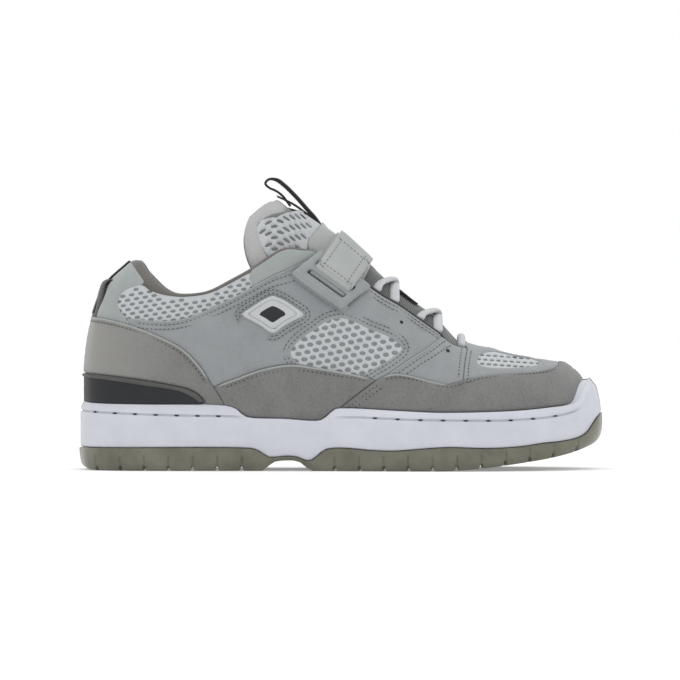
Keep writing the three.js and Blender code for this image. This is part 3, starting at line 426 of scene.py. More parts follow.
def panel(name, kind, outline, low, high, material, radius=0.9, spacing=1.6, both=False, shape=None,
          base=None,
          lift=None, rings=None, grid=None, holes=()):
    """A cut panel bent over the last, between two heights off its face, with rounded edges."""
    loops = [evenly(outline, spacing), *holes]
    rings = (0.3 * radius, radius) if rings is None else rings
    places, faces = flat_mesh(loops, spacing, rings, grid)
    distance = edge_distance(places, loops)
    height = rounded(distance, radius)
    middle, half = (low + high) / 2, (high - low) / 2
    outer = middle + half * height if both else low + (high - low) * height
    inner = middle - half * height if both else np.full(len(places), float(low))
    if shape is not None:
        outer = outer + shape(places, distance)
    stand = np.zeros(len(places)) if base is None else base(places)
    lifts = (None, None) if lift is None else (outer + lift, inner + lift)
    top = from_chart(places, kind, outer + stand, lifts[0])
    bottom = from_chart(places, kind, inner + stand, lifts[1])
    count = len(places)
    edges = np.sort(np.vstack([faces[:, [0, 1]], faces[:, [1, 2]], faces[:, [2, 0]]]), axis=1)
    directed = np.vstack([faces[:, [0, 1]], faces[:, [1, 2]], faces[:, [2, 0]]])
    _, first, counts = np.unique(edges, axis=0, return_index=True, return_counts=True)
    rim = directed[first[counts == 1]]
    wall = np.stack([rim[:, 1], rim[:, 0], rim[:, 0] + count, rim[:, 1] + count], -1)
    everything = [*map(tuple, faces), *map(tuple, faces[:, ::-1] + count), *map(tuple, wall)]
    points = np.vstack([top, bottom])
    # The chart can run either way round the last, so the sum of the faces' volumes says which way is out.
    v = points[faces]
    normal = np.cross(v[:, 1] - v[:, 0], v[:, 2] - v[:, 0])
    lower = bottom[faces].mean(1)
    if (normal * (v.mean(1) - lower)).sum() < 0:
        everything = [tuple(reversed(f)) for f in everything]
    rim_value = np.concatenate([distance, np.full(count, 9.0)])
    uv = np.vstack([places, places])
    return make_mesh(name, points, everything, material, 50.0, {"edge_mm": rim_value}, uv)

# %% Seams and edges, seen from the side
COUNTER_TOP = [(-0.05, 0.69), (0.028, 0.68), (0.065, 0.667), (0.11, 0.637), (0.165, 0.585), (0.2, 0.54),
               (0.232, 0.465), (0.258, 0.374)]
COUNTER_FRONT = [(0.258, 0.374), (0.27, 0.333), (0.281, 0.285)]
INSERT_TOP = [(-0.05, 0.433), (0.041, 0.427), (0.11, 0.408), (0.17, 0.385), (0.215, 0.36), (0.237, 0.325),
              (0.25, 0.27)]
INSERT_STEP = [(-0.05, 0.416), (0.01, 0.413), (0.04, 0.407), (0.078, 0.395), (0.135, 0.375),
               (0.174, 0.362), (0.197, 0.35),
               (0.212, 0.334), (0.225, 0.316), (0.233, 0.298)]
FOXING_TOP = [(0.258, 0.374), (0.3, 0.41), (0.35, 0.452), (0.405, 0.473), (0.45, 0.46), (0.51, 0.435),
              (0.567, 0.404)]
FOXING_FRONT = [(0.567, 0.404), (0.533, 0.345), (0.499, 0.282)]
TOE_WRAP_TOP = [(0.567, 0.404), (0.583, 0.42), (0.605, 0.428), (0.635, 0.417), (0.67, 0.394), (0.7, 0.382),
                (0.73, 0.4), (0.78, 0.418), (0.84, 0.428), (0.89, 0.44), (0.91, 0.456), (0.921, 0.49),
                (0.923, 0.6)]
VAMP_REAR = [(0.583, 0.42), (0.632, 0.498), (0.661, 0.54), (0.692, 0.596)]
TOE_SEAM = [(0.73, 0.4), (0.734, 0.485), (0.739, 0.54)]
THROAT = [(0.739, 0.543), (0.728, 0.547), (0.708, 0.562), (0.689, 0.602), (0.65, 0.668), (0.612, 0.73),
          (0.575, 0.782), (0.53, 0.862), (0.47, 0.98)]
COLLAR_EDGE = [(0.1, 0.93), (0.112, 0.89), (0.13, 0.832), (0.155, 0.8), (0.185, 0.783), (0.21, 0.782),
               (0.25, 0.797),
               (0.29, 0.842), (0.33, 0.895), (0.365, 0.95), (0.385, 0.98), (0.403, 0.99), (0.425, 0.985),
               (0.455, 0.98)]
COLLAR_TOP = [(0.098, 0.935), (0.106, 0.955), (0.118, 0.96), (0.135, 0.91), (0.158, 0.845), (0.18, 0.806),
              (0.208, 0.797), (0.25, 0.813), (0.29, 0.86), (0.33, 0.912), (0.364, 0.968), (0.385, 0.995),
              (0.403, 1), (0.425, 0.996), (0.448, 0.968)]
QUARTER_TOP = [(0.0945, 0.682), (0.13, 0.67), (0.174, 0.667), (0.21, 0.682), (0.26, 0.731), (0.317, 0.798),
               (0.365, 0.863), (0.42, 0.92), (0.454, 0.96)]
HEEL_PANEL_FRONT = [(0.094, 0.66), (0.094, 0.679), (0.08, 0.72), (0.078, 0.765), (0.092, 0.805),
                    (0.127, 0.834)]
SIDE_WINDOW = [(0.405, 0.525), (0.42, 0.577), (0.448, 0.625), (0.478, 0.67), (0.508, 0.677), (0.552, 0.633),
               (0.598, 0.586), (0.615, 0.545), (0.597, 0.505), (0.565, 0.46), (0.541, 0.432),
               (0.508, 0.438),
               (0.455, 0.463), (0.414, 0.49)]
TOE_VENT = [(0.759, 0.475), (0.763, 0.51), (0.785, 0.525), (0.83, 0.505), (0.865, 0.49), (0.88, 0.472),
            (0.842, 0.457), (0.8, 0.454), (0.772, 0.46)]
TREAD_LINE = [(-0.01, 0.3), (0, 0.165), (0.004, 0.08), (0.013, 0.035), (0.036, 0), (0.357, 0), (0.364, 0.1),
              (0.376, 0.14), (0.393, 0.155), (0.415, 0.15), (0.43, 0.095), (0.443, 0), (0.69, 0),
              (0.73, 0.018),
              (0.77, 0.045), (0.81, 0.085), (0.85, 0.13), (0.89, 0.18), (0.93, 0.25), (0.965, 0.34),
              (0.988, 0.43),
              (1.01, 0.62)]
PART_LINE = [(-0.01, 0.34), (0.318, 0.34), (0.336, 0.325), (0.35, 0.27), (0.362, 0.205), (0.372, 0.2),
             (0.398, 0.22),
             (0.417, 0.205), (0.434, 0.15), (0.443, 0.155), (0.455, 0.225), (0.468, 0.31), (0.485, 0.34),
             (0.51, 0.34),
             (0.555, 0.31), (0.6, 0.3), (0.65, 0.33), (0.7, 0.355), (0.78, 0.34), (0.84, 0.365),
             (0.88, 0.41),
             (0.92, 0.44), (0.95, 0.49), (0.966, 0.56), (0.976, 0.66), (0.986, 0.77), (1.01, 0.96)]
WALL_LINE = [(-0.01, 1.05), (0.03, 1.015), (0.12, 1), (0.28, 0.985), (0.3, 0.94), (0.316, 0.83),
             (0.328, 0.8),
             (0.39, 0.785), (0.462, 0.765), (0.474, 0.83), (0.488, 0.93), (0.51, 0.945), (0.6, 0.91),
             (0.68, 0.88),
             (0.76, 0.885), (0.84, 0.91), (0.9, 0.955), (0.935, 0.99), (0.948, 1.04), (0.9585, 1.19),
             (0.9685, 1.32),
             (0.98, 1.42), (1.01, 1.44)]
GROOVE_LINE = [(0, 0.9), (0.06, 0.87), (0.2, 0.832), (0.29, 0.82), (0.4, 0.7), (0.51, 0.81), (0.65, 0.77),
               (0.79, 0.76), (0.87, 0.79), (0.93, 0.86), (0.955, 0.95), (0.97, 1.16), (1, 1.28)]
TONGUE_REAR = [(0.52, 0.16), (0.38, 0.55), (0.345, 0.72), (0.325, 0.79), (0.317, 0.88), (0.33, 0.942),
               (0.35, 0.967),
               (0.374, 0.986)]

collar_line = {
    name: smooth_line(rows, COLLAR_HEIGHT)
    for name, rows in {
        "counter top": COUNTER_TOP, "counter front": COUNTER_FRONT, "insert top": INSERT_TOP,
        "foxing top": FOXING_TOP, "foxing front": FOXING_FRONT, "toe wrap top": TOE_WRAP_TOP,
        "vamp rear": VAMP_REAR, "toe seam": TOE_SEAM, "throat": THROAT, "collar edge": COLLAR_EDGE,
        "collar top": COLLAR_TOP, "quarter top": QUARTER_TOP, "heel panel front": HEEL_PANEL_FRONT,
    }.items()
}
counter_top = line_height(collar_line["counter top"])
insert_top = line_height(collar_line["insert top"])
toe_wrap_top = line_height(collar_line["toe wrap top"][:-8])
collar_edge = line_height(collar_line["collar edge"])
collar_top = line_height(collar_line["collar top"])
wall_top = line_height(smooth_line(WALL_LINE, SOLE_HEIGHT))
part_height = line_height(smooth_line(PART_LINE, SOLE_HEIGHT))
tread_line = line_height(smooth_line(TREAD_LINE, SOLE_HEIGHT))
tread_height = lambda x: np.maximum(tread_line(x), 0.0)
insert_step = line_height(smooth_line(INSERT_STEP, COLLAR_HEIGHT))
groove_table = table(GROOVE_LINE)
RIM_HEIGHT = COLLAR_EDGE[0][1] * COLLAR_HEIGHT
TOE_OVER = 275.75


def drawn(points, side, kind="ridge", out=0.0, lift=None):
    """Chart places of a side-view line, for a face that stands out and lifted by so much."""
    station, share = find_on_last(points, side, out, lift)
    return chart_of(station, side, share, kind)


def share_where(station, side, within, out=0.0):
    """The share at which each station's section leaves a region."""
    low, high = np.zeros_like(station), np.ones_like(station)
    for _ in range(26):
        share = (low + high) / 2
        p = on_last(station, side, share, out)
        low, high = np.where(within(p), share, low), np.where(within(p), high, share)
    return (low + high) / 2


def station_of(x, z, side):
    return find_on_last([(x, z)], side)[0][0]


def round_heel(line, to_x, count=70):
    """Chart places along a side-view line from the outer side round the heel to the inner side."""
    ends = []
    for side in (LATERAL, MEDIAL):
        last = station_of(to_x, float(line(to_x)), side)
        station = last * np.linspace(0, 1, count) ** 1.4
        ends.append(chart_of(station, side,
                             share_where(station, side, lambda p: p[..., 2] < line(p[..., 0])), "heel"))
    return np.vstack([ends[0][::-1], ends[1][1:]])


def ridge_place(x):
    """Chart place of the ridge at x."""
    ridge_x = on_last(STEPS, LATERAL, np.ones_like(STEPS))[:, 0]
    return np.array([[np.interp(x, ridge_x, STEPS) * LENGTH, 0.0]])


print("wall at the heel", float(wall_top(20)), "counter top at the heel", float(counter_top(10)))

# %% [markdown]
# ## Finishes
# Every finish is a small network of shader nodes. A wrapper lets the networks be written as sums and
# products. The patterns use object coordinates in metres, so a grain keeps its real size on every piece.

# %% A shader value that behaves like a number


class Shade:
    """A socket of a material's node tree."""

    def __init__(self, tree, socket):
        self.tree, self.socket = tree, socket

    def math(self, operation, *others):
        node = self.tree.nodes.new("ShaderNodeMath")
        node.operation = operation
        for entry, value in zip(node.inputs, (self, *others)):
            if isinstance(value, Shade):
                self.tree.links.new(value.socket, entry)
            else:
                entry.default_value = value
        return Shade(self.tree, node.outputs[0])

    def __add__(self, other):
        return self.math("ADD", other)

    def __sub__(self, other):
        return self.math("SUBTRACT", other)

    def __mul__(self, other):
        return self.math("MULTIPLY", other)

    def __truediv__(self, other):
        return self.math("DIVIDE", other)

    def __radd__(self, other):
        return self.math("ADD", other)

    def __rmul__(self, other):
        return self.math("MULTIPLY", other)

    def __rsub__(self, other):
        return self.math("MULTIPLY_ADD", -1.0, other)

    def step(self, low, high):
        """0 below low, 1 above high, smooth between."""
        node = self.tree.nodes.new("ShaderNodeMapRange")
        node.interpolation_type = "SMOOTHSTEP"
        self.tree.links.new(self.socket, node.inputs["Value"])
        node.inputs["From Min"].default_value, node.inputs["From Max"].default_value = low, high
        return Shade(self.tree, node.outputs["Result"])


LIGHT_GAIN = 0.78


def linear(red, green, blue):
    """Linear colour of an sRGB one read off the photograph, less what this studio's light adds to it."""
    return tuple(LIGHT_GAIN * ((c / 255 + 0.055) / 1.055) ** 2.4 for c in (red, green, blue)) + (1.0,)


class Finish:
    """A material and the tools to draw its network."""

    def __init__(self, name):
        self.material = bpy.data.materials.new(name)
        self.material.use_nodes = True
        self.tree = self.material.node_tree
        self.shader = self.tree.nodes["Principled BSDF"]
        self.place = self.node("ShaderNodeTexCoord", out="Object")
        self.heights = []

    def node(self, kind, out=0, inputs=None, **settings):
        made = self.tree.nodes.new(kind)
        for key, value in settings.items():
            setattr(made, key, value)
        for key, value in (inputs or {}).items():
            if isinstance(value, Shade):
                self.tree.links.new(value.socket, made.inputs[key])
            else:
                made.inputs[key].default_value = value
        return Shade(self.tree, made.outputs[out])

    def noise(self, size, detail=3.0, rough=0.6, stretch=None):
        """Cloudy noise whose blobs are about size metres across."""
        place = self.place
        if stretch:
            place = self.node("ShaderNodeVectorMath", inputs={0: place, 1: stretch}, operation="MULTIPLY")
        return self.node("ShaderNodeTexNoise",
                         inputs={"Vector": place, "Scale": 1 / size, "Detail": detail, "Roughness": rough})

    def cells(self, size):
        """Distance from the middle of cells about size metres across."""
        return self.node("ShaderNodeTexVoronoi", out="Distance",
                         inputs={"Vector": self.place, "Scale": 1 / size})

    def attribute(self, name):
        return self.node("ShaderNodeAttribute", out="Fac", attribute_name=name)

    def split(self):
        """The x, y and z of a place on the piece, in metres."""
        node = self.tree.nodes.new("ShaderNodeSeparateXYZ")
        self.tree.links.new(self.place.socket, node.inputs[0])
        return [Shade(self.tree, node.outputs[i]) for i in range(3)]

    def mix(self, factor, first, second):
        return self.node("ShaderNodeMix", out=2, inputs={0: factor, 6: first, 7: second}, data_type="RGBA")

    def raise_by(self, height, metres):
        """Adds a relief of that height, for the bump."""
        self.heights.append(height * metres)

    def done(self, colour, roughness, **constants):
        """Wires the shader and returns the material."""
        for key, value in {"Base Color": colour, "Roughness": roughness}.items():
            if isinstance(value, Shade):
                self.tree.links.new(value.socket, self.shader.inputs[key])
            else:
                self.shader.inputs[key].default_value = value
        for key, value in constants.items():
            self.shader.inputs[key.replace("_", " ")].default_value = value
        if self.heights:
            total = self.heights[0]
            for more in self.heights[1:]:
                total = total + more
            bump = self.node("ShaderNodeBump", inputs={"Height": total, "Strength": 1.0, "Distance": 1.0})
            self.tree.links.new(bump.socket, self.shader.inputs["Normal"])
        return self.material


def nap(name, base, dark, light, grain=0.00035, depth=0.00009, mottle=0.4, heel=None):
    """Suede or nubuck: short nap, brushed patches, paler cut edges as a painted highlight and, where given,
    paler towards the back of the heel.
    """
    f = Finish(name)
    clouds = f.noise(0.012, 4.0, 0.65)
    brushed = f.noise(0.03, 3.0, 0.6, stretch=(1.0, 1.0, 0.35))
    fine = f.noise(grain, 2.0, 0.7)
    colour = f.mix((clouds * 0.6 + brushed * 0.6 - 0.1).step(0.5 - mottle, 0.5 + mottle), dark, light)
    speck = f.noise(0.0011, 4.0, 0.8)
    colour = f.mix(speck.step(0.36, 0.64) * 0.75, colour, base)
    colour = f.mix(speck.step(0.52, 0.7) * 0.5, colour, light)
    colour = f.mix((1.0 - speck.step(0.34, 0.5)) * (0.8 if heel else 0.35), colour, dark)
    # Painted highlight: the nap within about a millimetre of a cut edge is lightened, for the light that its
    # fold catches.
    fold_highlight = 1.0 - f.attribute("edge_mm").step(0.1, 1.1)
    colour = f.mix(fold_highlight * 0.35, colour, light)
    # Where given, the colour turns paler towards the back of the heel.
    if heel:
        colour = f.mix((1.0 - f.split()[0].step(-0.03, 0.045)) * 0.8, colour, heel)
    f.raise_by(speck, depth * 1.5)
    f.raise_by(fine, depth)
    f.raise_by(f.cells(grain * 2.2), depth * 0.6)
    f.raise_by(clouds, 0.0003)
    return f.done(colour, 0.92 - fine * 0.1, Sheen_Weight=0.25, Sheen_Roughness=0.5, Specular_IOR_Level=0.3)


def fabric(name, base, dark, pitch=0.0009, depth=0.00012, rough=0.9):
    """A fine knit or weave: two crossing waves under a little fuzz."""
    f = Finish(name)
    x, y, z = f.split()
    warp = ((x + y * 0.6) * (TURN / pitch)).math("SINE")
    weft = ((z + y * 0.3) * (TURN / pitch)).math("SINE")
    weave = warp * weft * 0.5 + 0.5
    fuzz = f.noise(pitch * 0.8, 2.0, 0.6)
    clouds = f.noise(0.01, 3.0)
    colour = f.mix(weave * 0.5 + clouds * 0.4, dark, base)
    f.raise_by(weave, depth)
    f.raise_by(fuzz, depth * 0.7)
    return f.done(colour, rough, Sheen_Weight=0.3, Specular_IOR_Level=0.25)


def moulded(name, base, dark, rough=0.5, grain=0.0006, depth=0.00002, coat=0.0, clouds_size=0.02,
            **constants):
    """Rubber or plastic: even colour, faint clouds and a fine moulded texture."""
    f = Finish(name)
    clouds = f.noise(clouds_size, 4.0)
    grainy = f.noise(grain, 2.0)
    colour = f.mix(clouds.step(0.25, 0.8), dark, base)
    f.raise_by(grainy, depth)
    return f.done(colour, rough + clouds * 0.12 - 0.06, Coat_Weight=coat, **constants)


SUEDE_GREY = nap("suede_grey", linear(128, 128, 127), linear(107, 108, 107), linear(144, 144, 142),
                 heel=linear(160, 159, 155))
NUBUCK_GREY = nap("nubuck_grey", linear(154, 158, 160), linear(140, 144, 146), linear(167, 171, 173),
                  0.0003, 0.00005)
NUBUCK_PALE = nap("nubuck_pale", linear(166, 173, 171), linear(154, 161, 160), linear(176, 182, 180),
                  0.0003, 0.00005)
NET_WHITE = fabric("net_white", linear(222, 225, 227), linear(196, 200, 203), 0.0006)
NET_BACK = fabric("net_back", linear(166, 169, 171), linear(138, 141, 143), 0.0008)
LINING = fabric("lining_knit", linear(122, 119, 115), linear(96, 93, 90), 0.0011)
TONGUE_PATCH = fabric("tongue_patch", linear(194, 197, 195), linear(172, 176, 174), 0.0008)


def tongue_finish():
    """Cloth with a pale rolled edge at the back; under the laces it is darker, for dark webbing and for
    painted shade between the lace strands.
    """
    f = Finish("tongue_cloth")
    x = f.split()[0]
    rib = ((x + f.split()[2] * 0.5) * (TURN / 0.0014)).math("SINE") * 0.5 + 0.5
    cloth = f.mix(rib * 0.6 + f.noise(0.008) * 0.3, linear(120, 123, 122), linear(146, 149, 147))
    pale = f.mix(f.noise(0.0007, 2.0), linear(178, 179, 178), linear(200, 201, 200))
    dark = f.mix(rib, linear(84, 86, 86), linear(116, 118, 117))
    edge = 1.0 - f.attribute("edge_mm").step(4.6, 5.2)
    colour = f.mix(edge * (1.0 - x.step(0.085, 0.09)), cloth, pale)
    # Under the laces the cloth is darkened: partly its dark webbing, partly painted shade between the lace
    # strands.
    colour = f.mix(x.step(0.131, 0.134), colour, dark)
    f.raise_by(rib, 0.00015)
    return f.done(colour, 0.9, Sheen_Weight=0.3, Specular_IOR_Level=0.25)


TONGUE_CLOTH = tongue_finish()
MIDSOLE_WHITE = moulded("midsole_white", linear(222, 224, 233), linear(212, 214, 224), 0.5)
GUM = moulded("gum_rubber", linear(124, 122, 106), linear(98, 97, 83), 0.35, clouds_size=0.015, coat=0.1)
CHARCOAL = moulded("charcoal_trim", linear(46, 48, 51), linear(38, 39, 42), 0.6, Specular_IOR_Level=0.3)
CHARCOAL_RIM = moulded("charcoal_rim", linear(98, 98, 96), linear(86, 86, 85), 0.7, Specular_IOR_Level=0.3)
RING_GREY = moulded("ring_plastic", linear(160, 164, 165), linear(150, 154, 156), 0.4)
BADGE_GREY = moulded("badge_rubber", linear(205, 208, 208), linear(196, 199, 200), 0.5)
STRAP_GREY = moulded("strap_band", linear(182, 186, 184), linear(170, 174, 172), 0.7, 0.0004, 0.00003)
BLACK_WEBBING = fabric("black_webbing", linear(44, 44, 47), linear(24, 24, 26), 0.0012, 0.00018, 0.85)
LACE_WHITE = fabric("lace_cord", linear(232, 234, 237), linear(196, 199, 203), 0.0009, 0.0002)
THREAD_GREY = fabric("thread_grey", linear(172, 176, 176), linear(140, 144, 144), 0.0005, 0.00008)
THREAD_SUEDE = fabric("thread_suede", linear(158, 158, 155), linear(126, 126, 124), 0.0005, 0.00008)
STRAP_THREAD = fabric("strap_thread", linear(140, 144, 144), linear(108, 112, 112), 0.0005, 0.00008)
HOLE_DARK = moulded("needle_hole", linear(62, 64, 66), linear(50, 52, 54), 0.95, Specular_IOR_Level=0.1)
# Painted highlight: the folded edges' bead is paler than the suede, for the light that its roll catches on
# upper edges.
EDGE_HIGHLIGHT = nap("folded_edge", linear(162, 166, 164), linear(150, 154, 152), linear(172, 176, 173),
                0.0003, 0.00004)
# Painted shadow: a dark bead for the shade along the throat, between the eyestay's edge and the tongue.
THROAT_SHADOW = fabric("painted_throat_shadow", linear(62, 64, 67), linear(44, 46, 48), 0.0008, 0.0001)
print("finishes:", len(bpy.data.materials))

# %% [markdown]
# ## The cup sole
# The real sole is moulded in two colours: translucent gum with cut lugs, and a white cup that carries the
# upper. Each is skinned here over rows of points that follow the sole's outline, so the groove, the lip and
# every notch sit on vertices of their own. A boolean cut would leave long thin faces that shade badly.

# %% Rows round the sole


def skin(rows, closed_across=False):
    """Faces between rows of equal length."""
    count = len(rows[0])
    faces = []
    for i in range(len(rows) - 1):
        for j in range(count - 1 + closed_across):
            a, b = i * count + j, i * count + (j + 1) % count
            faces.append((a, b, b + count, a + count))
    return np.vstack(rows), faces


def round_sole(stations_lateral, stations_medial):
    """Stations and sides round the sole: from the heel tip along the outer side, back along the inner."""
    station = np.concatenate([stations_lateral, stations_medial[::-1][1:-1]])
    side = np.concatenate([np.full(len(stations_lateral), LATERAL),
                           np.full(len(stations_medial) - 2, MEDIAL)])
    return station, side


def sole_row(station, side, inset):
    """Places in plan, inset from the outline."""
    place = np.zeros((len(station), 2))
    for which in (LATERAL, MEDIAL):
        mine = side == which
        x, y, dx, dy = outline_point(station[mine], which)
        place[mine] = np.stack([x - dx * inset[mine], y - dy * inset[mine]], -1)
    return place


# %% The white cup
FINE = 0.5 - 0.5 * np.cos(np.linspace(0, math.pi, 260))
STATION, SIDE = round_sole(FINE, FINE)
GROOVE_TABLE = [  # height over the groove, inset
    (-60, 0.9), (-4, 0.9), (-1.2, 0.95), (-0.62, 1.05), (-0.45, 2.0), (0.45, 2.1), (0.62, 1.25),
    (1.2, 1.15),
    (4.75, 2.6), (9.5, 4.0), (14, 5.4), (24, 7),
]
TOE_LEAN = [(34, 0), (40, 0.9), (47, 2.4), (51, 3.8), (55, 6)]  # height, inset of the bumper's front


def wall_inset(x, z, over, groove_share):
    """Inset of the cup's wall at a height and at a height over its groove."""
    inset = table(GROOVE_TABLE)(over)[0]
    plain = np.interp(over, [-4, 1.2, 4.75, 9.5, 24], [0.9, 1.15, 2.6, 4.0, 7])
    inset = plain + (inset - plain) * groove_share
    return inset + np.interp(z, *zip(*TOE_LEAN)) * ease(0.93, 0.985, x / LENGTH)


def cup_row(fraction_low, over_groove=None, top_back=0.0, sink=0.0):
    """One row of the wall: a share of the way from part line to groove, or a height over the groove."""
    x = sole_row(STATION, SIDE, np.full(len(STATION), 3.0))[:, 0]
    for _ in range(30):
        groove = groove_table(x / LENGTH)[0] * SOLE_HEIGHT
        low, high = part_height(x) + CLEARANCE, wall_top(x)
        groove = np.clip(groove, low + 3.0, high - 2.0)
        share = 1 - ease(88, 97, x) * (1 - ease(145, 155, x)) - ease(0.935, 0.962, x / LENGTH)
        if over_groove is None:
            z = low + (groove - 1.4 - low) * fraction_low
        elif over_groove < 3:
            z = groove + over_groove
        else:
            z = groove + 1.4 + (high - groove - 1.4) * fraction_low
        inset = wall_inset(x, z, z - groove, share) + top_back
        place = sole_row(STATION, SIDE, inset)
        # Small steps, because the wall's top is steep at the toe
        x = x + 0.25 * (place[:, 0] - x)
    return np.column_stack([place, z - sink])


rows = [cup_row(0.0, top_back=12), cup_row(0.0, top_back=0.9), cup_row(0.02, top_back=0.35)]
rows += [cup_row(t) for t in (0.06, 0.3, 0.55, 0.8, 1.0)]
rows += [cup_row(0, over_groove=h) for h in (-0.9, -0.62, -0.45, 0.0, 0.45, 0.62, 0.9, 1.3)]
rows += [cup_row(t, over_groove=9) for t in (0.15, 0.35, 0.55, 0.75, 0.9)]
rows += [cup_row(0.97, 9, 0.15), cup_row(1.0, 9, 0.5), cup_row(1.0, 9, 1.1, 0.05)]
foot = np.column_stack([sole_row(STATION, SIDE, np.full(len(STATION), 12.5)), rows[-1][:, 2] - 0.4])
rows += [foot, foot - (0, 0, 10)]
points, faces = skin(rows, closed_across=True)
cup = make_mesh("cup_sole", points, [f[::-1] for f in faces], MIDSOLE_WHITE, 35)
settle(cup, "white_rubber", "midsole")

# %% The gum outsole
NOTCHES = [first * LENGTH + i * LUG_PITCH for first,
           count in (HEEL_NOTCHES, FORE_NOTCHES) for i in range(count)]


def outsole_columns():
    ends = LENGTH * (0.5 - 0.5 * np.cos(np.linspace(0, math.pi, 130)))
    near = [x + d for x in NOTCHES for d in (-1.35, -1.15, -0.6, -0.22, 0, 0.22, 0.6, 1.15, 1.35)]
    everything = np.unique(np.round(np.concatenate([ends, near]), 3))
    return everything[np.concatenate([[True], np.diff(everything) > 0.09])]


COLUMNS = np.clip(outsole_columns(), 0, LENGTH)
lateral_x, medial_x = outline_place(STEPS, LATERAL)[0], outline_place(STEPS, MEDIAL)[0]
station, side = round_sole(np.interp(COLUMNS, lateral_x, STEPS), np.interp(COLUMNS, medial_x, STEPS))
column_x = np.concatenate([COLUMNS, COLUMNS[::-1][1:-1]])
notch_gap = np.abs(column_x[:, None] - np.array(NOTCHES)).min(1)
NOTCH_RISE = NOTCH_HEIGHT * np.clip(1.2 - notch_gap, 0, 0.75) / 0.75
SEAM = np.where(notch_gap < 0.3, 0.45, 0.0)


def gum_row(over, inset, seam=0.0, to_top=None):
    x = column_x.copy()
    for _ in range(2):
        place = sole_row(station, side, inset + seam * SEAM)
        x = place[:, 0]
    low, high = tread_height(x) + NOTCH_RISE, np.maximum(part_height(x), tread_height(x) + 1.2)
    z = high - to_top if to_top is not None else np.minimum(low + over * (1 - NOTCH_RISE / 8), high - 0.5)
    return np.column_stack([place, z])


full = np.ones(len(station))
rows = [gum_row(0.0, full * 9), gum_row(0.0, full * 3.0), gum_row(0.25, full * 2.1),
        gum_row(0.9, full * 1.2),
        gum_row(2.4, full * 0.6), gum_row(3.4, full * 0.35, 1.0), gum_row(5.5, full * 0.1, 1.0),
        gum_row(8.0, full * 0.1, 1.0),
        gum_row(9.0, full * 0.15), gum_row(0, full * 0.2, to_top=0.9), gum_row(0, full * 0.35, to_top=0.35),
        gum_row(0, full * 0.9, to_top=0.0), gum_row(0, full * 9, to_top=0.0)]
points, faces = skin(rows, closed_across=True)
count = len(station)
half = len(COLUMNS)
cap = []
for i in range(half - 1):
    near, far = i, (count - i) % count
    near_next, far_next = i + 1, (count - i - 1) % count
    quad = [near, near_next, far_next, far]
    cap.append(tuple(dict.fromkeys(quad)))
top = (len(rows) - 1) * count
faces += [tuple(reversed(q)) for q in cap] + [tuple(v + top for v in q) for q in cap]
outsole = make_mesh("gum_outsole", points, [f[::-1] for f in faces], GUM, 32)
settle(outsole, "gum_rubber", "outsole")

# %% [markdown]
# ## The upper
# Under the panels lies a thin shell of lining cloth. It shows through the nets, in the seams and inside the
# shoe. It is cut in one piece with the foot's opening left out, and the panels go on over it in the order a
# shoemaker would sew them: nets, quarters, then the heel, side and toe pieces that take the wear.

# %% Shell
LATERAL_RIM = {
    side: drawn(np.vstack([collar_line["collar edge"], collar_line["throat"][::-1]]),
                side) for side in (LATERAL, MEDIAL)
}


def rim_round_heel(side):
    """Chart places of the opening's rear edge on one side."""
    last = station_of(COLLAR_EDGE[0][0] * LENGTH, RIM_HEIGHT, side)
    station = last * np.linspace(0, 1, 30)
    return chart_of(station, side, share_where(station, side, lambda p: p[..., 2] < RIM_HEIGHT), "ridge")


def whole_rim(side):
    return np.vstack([rim_round_heel(side)[:-1], LATERAL_RIM[side]])


throat_ridge = ridge_place(THROAT[0][0] * LENGTH)
corners = [np.array([[0, -GIRTH]]), np.array([[LENGTH, -GIRTH]]), np.array([[LENGTH, GIRTH]]),
           np.array([[0, GIRTH]])]
outline = np.vstack([*corners, whole_rim(MEDIAL), throat_ridge, whole_rim(LATERAL)[::-1]])
shell = panel("upper_shell", "ridge", outline, -1.9, -0.05, NET_BACK, radius=0.6, spacing=2.5, both=True,
              grid=4.0)
settle(shell, "spacer_mesh", "upper")

# %% [markdown]
# ## Panels
# Each panel's outline runs along the seam lines that it shares with its neighbours. The heel pieces run
# right round the heel, so their outlines are found on both sides of the shoe.

# %% Creases
# Leather that has been on a last and handled is never quite even. Each row is a soft trough or ridge.
CREASES = [  # from along, from height, to along, to height, rise in millimetres, half width in millimetres
    (0.5, 0.87, 0.468, 0.72, -0.8, 5), (0.545, 0.79, 0.52, 0.69, 0.6, 5),
    (0.588, 0.735, 0.56, 0.62, -0.7, 4.5),
    (0.615, 0.69, 0.602, 0.6, 0.5, 4), (0.645, 0.64, 0.625, 0.55, -0.6, 4),
    (0.24, 0.62, 0.33, 0.46, 0.7, 7),
    (0.3, 0.67, 0.37, 0.52, -0.7, 6), (0.36, 0.79, 0.43, 0.6, -0.4, 5), (0.17, 0.64, 0.24, 0.54, -0.4, 6),
    (0.31, 0.42, 0.345, 0.24, -0.5, 6), (0.4, 0.46, 0.41, 0.25, 0.5, 8), (0.47, 0.44, 0.485, 0.26, -0.5, 7),
    (0.535, 0.4, 0.52, 0.3, 0.4, 6), (0.61, 0.42, 0.6, 0.27, -0.7, 6), (0.67, 0.38, 0.665, 0.27, 0.6, 6),
    (0.735, 0.38, 0.75, 0.28, -0.6, 7), (0.81, 0.42, 0.83, 0.3, 0.5, 8), (0.88, 0.42, 0.9, 0.32, -0.5, 6),
    (0.05, 0.64, 0.07, 0.46, -0.5, 8), (0.13, 0.58, 0.15, 0.42, 0.5, 8), (0.2, 0.5, 0.225, 0.38, -0.4, 6),
    (0.76, 0.53, 0.748, 0.43, -0.5, 2.6), (0.79, 0.54, 0.785, 0.5, 0.4, 3),
]


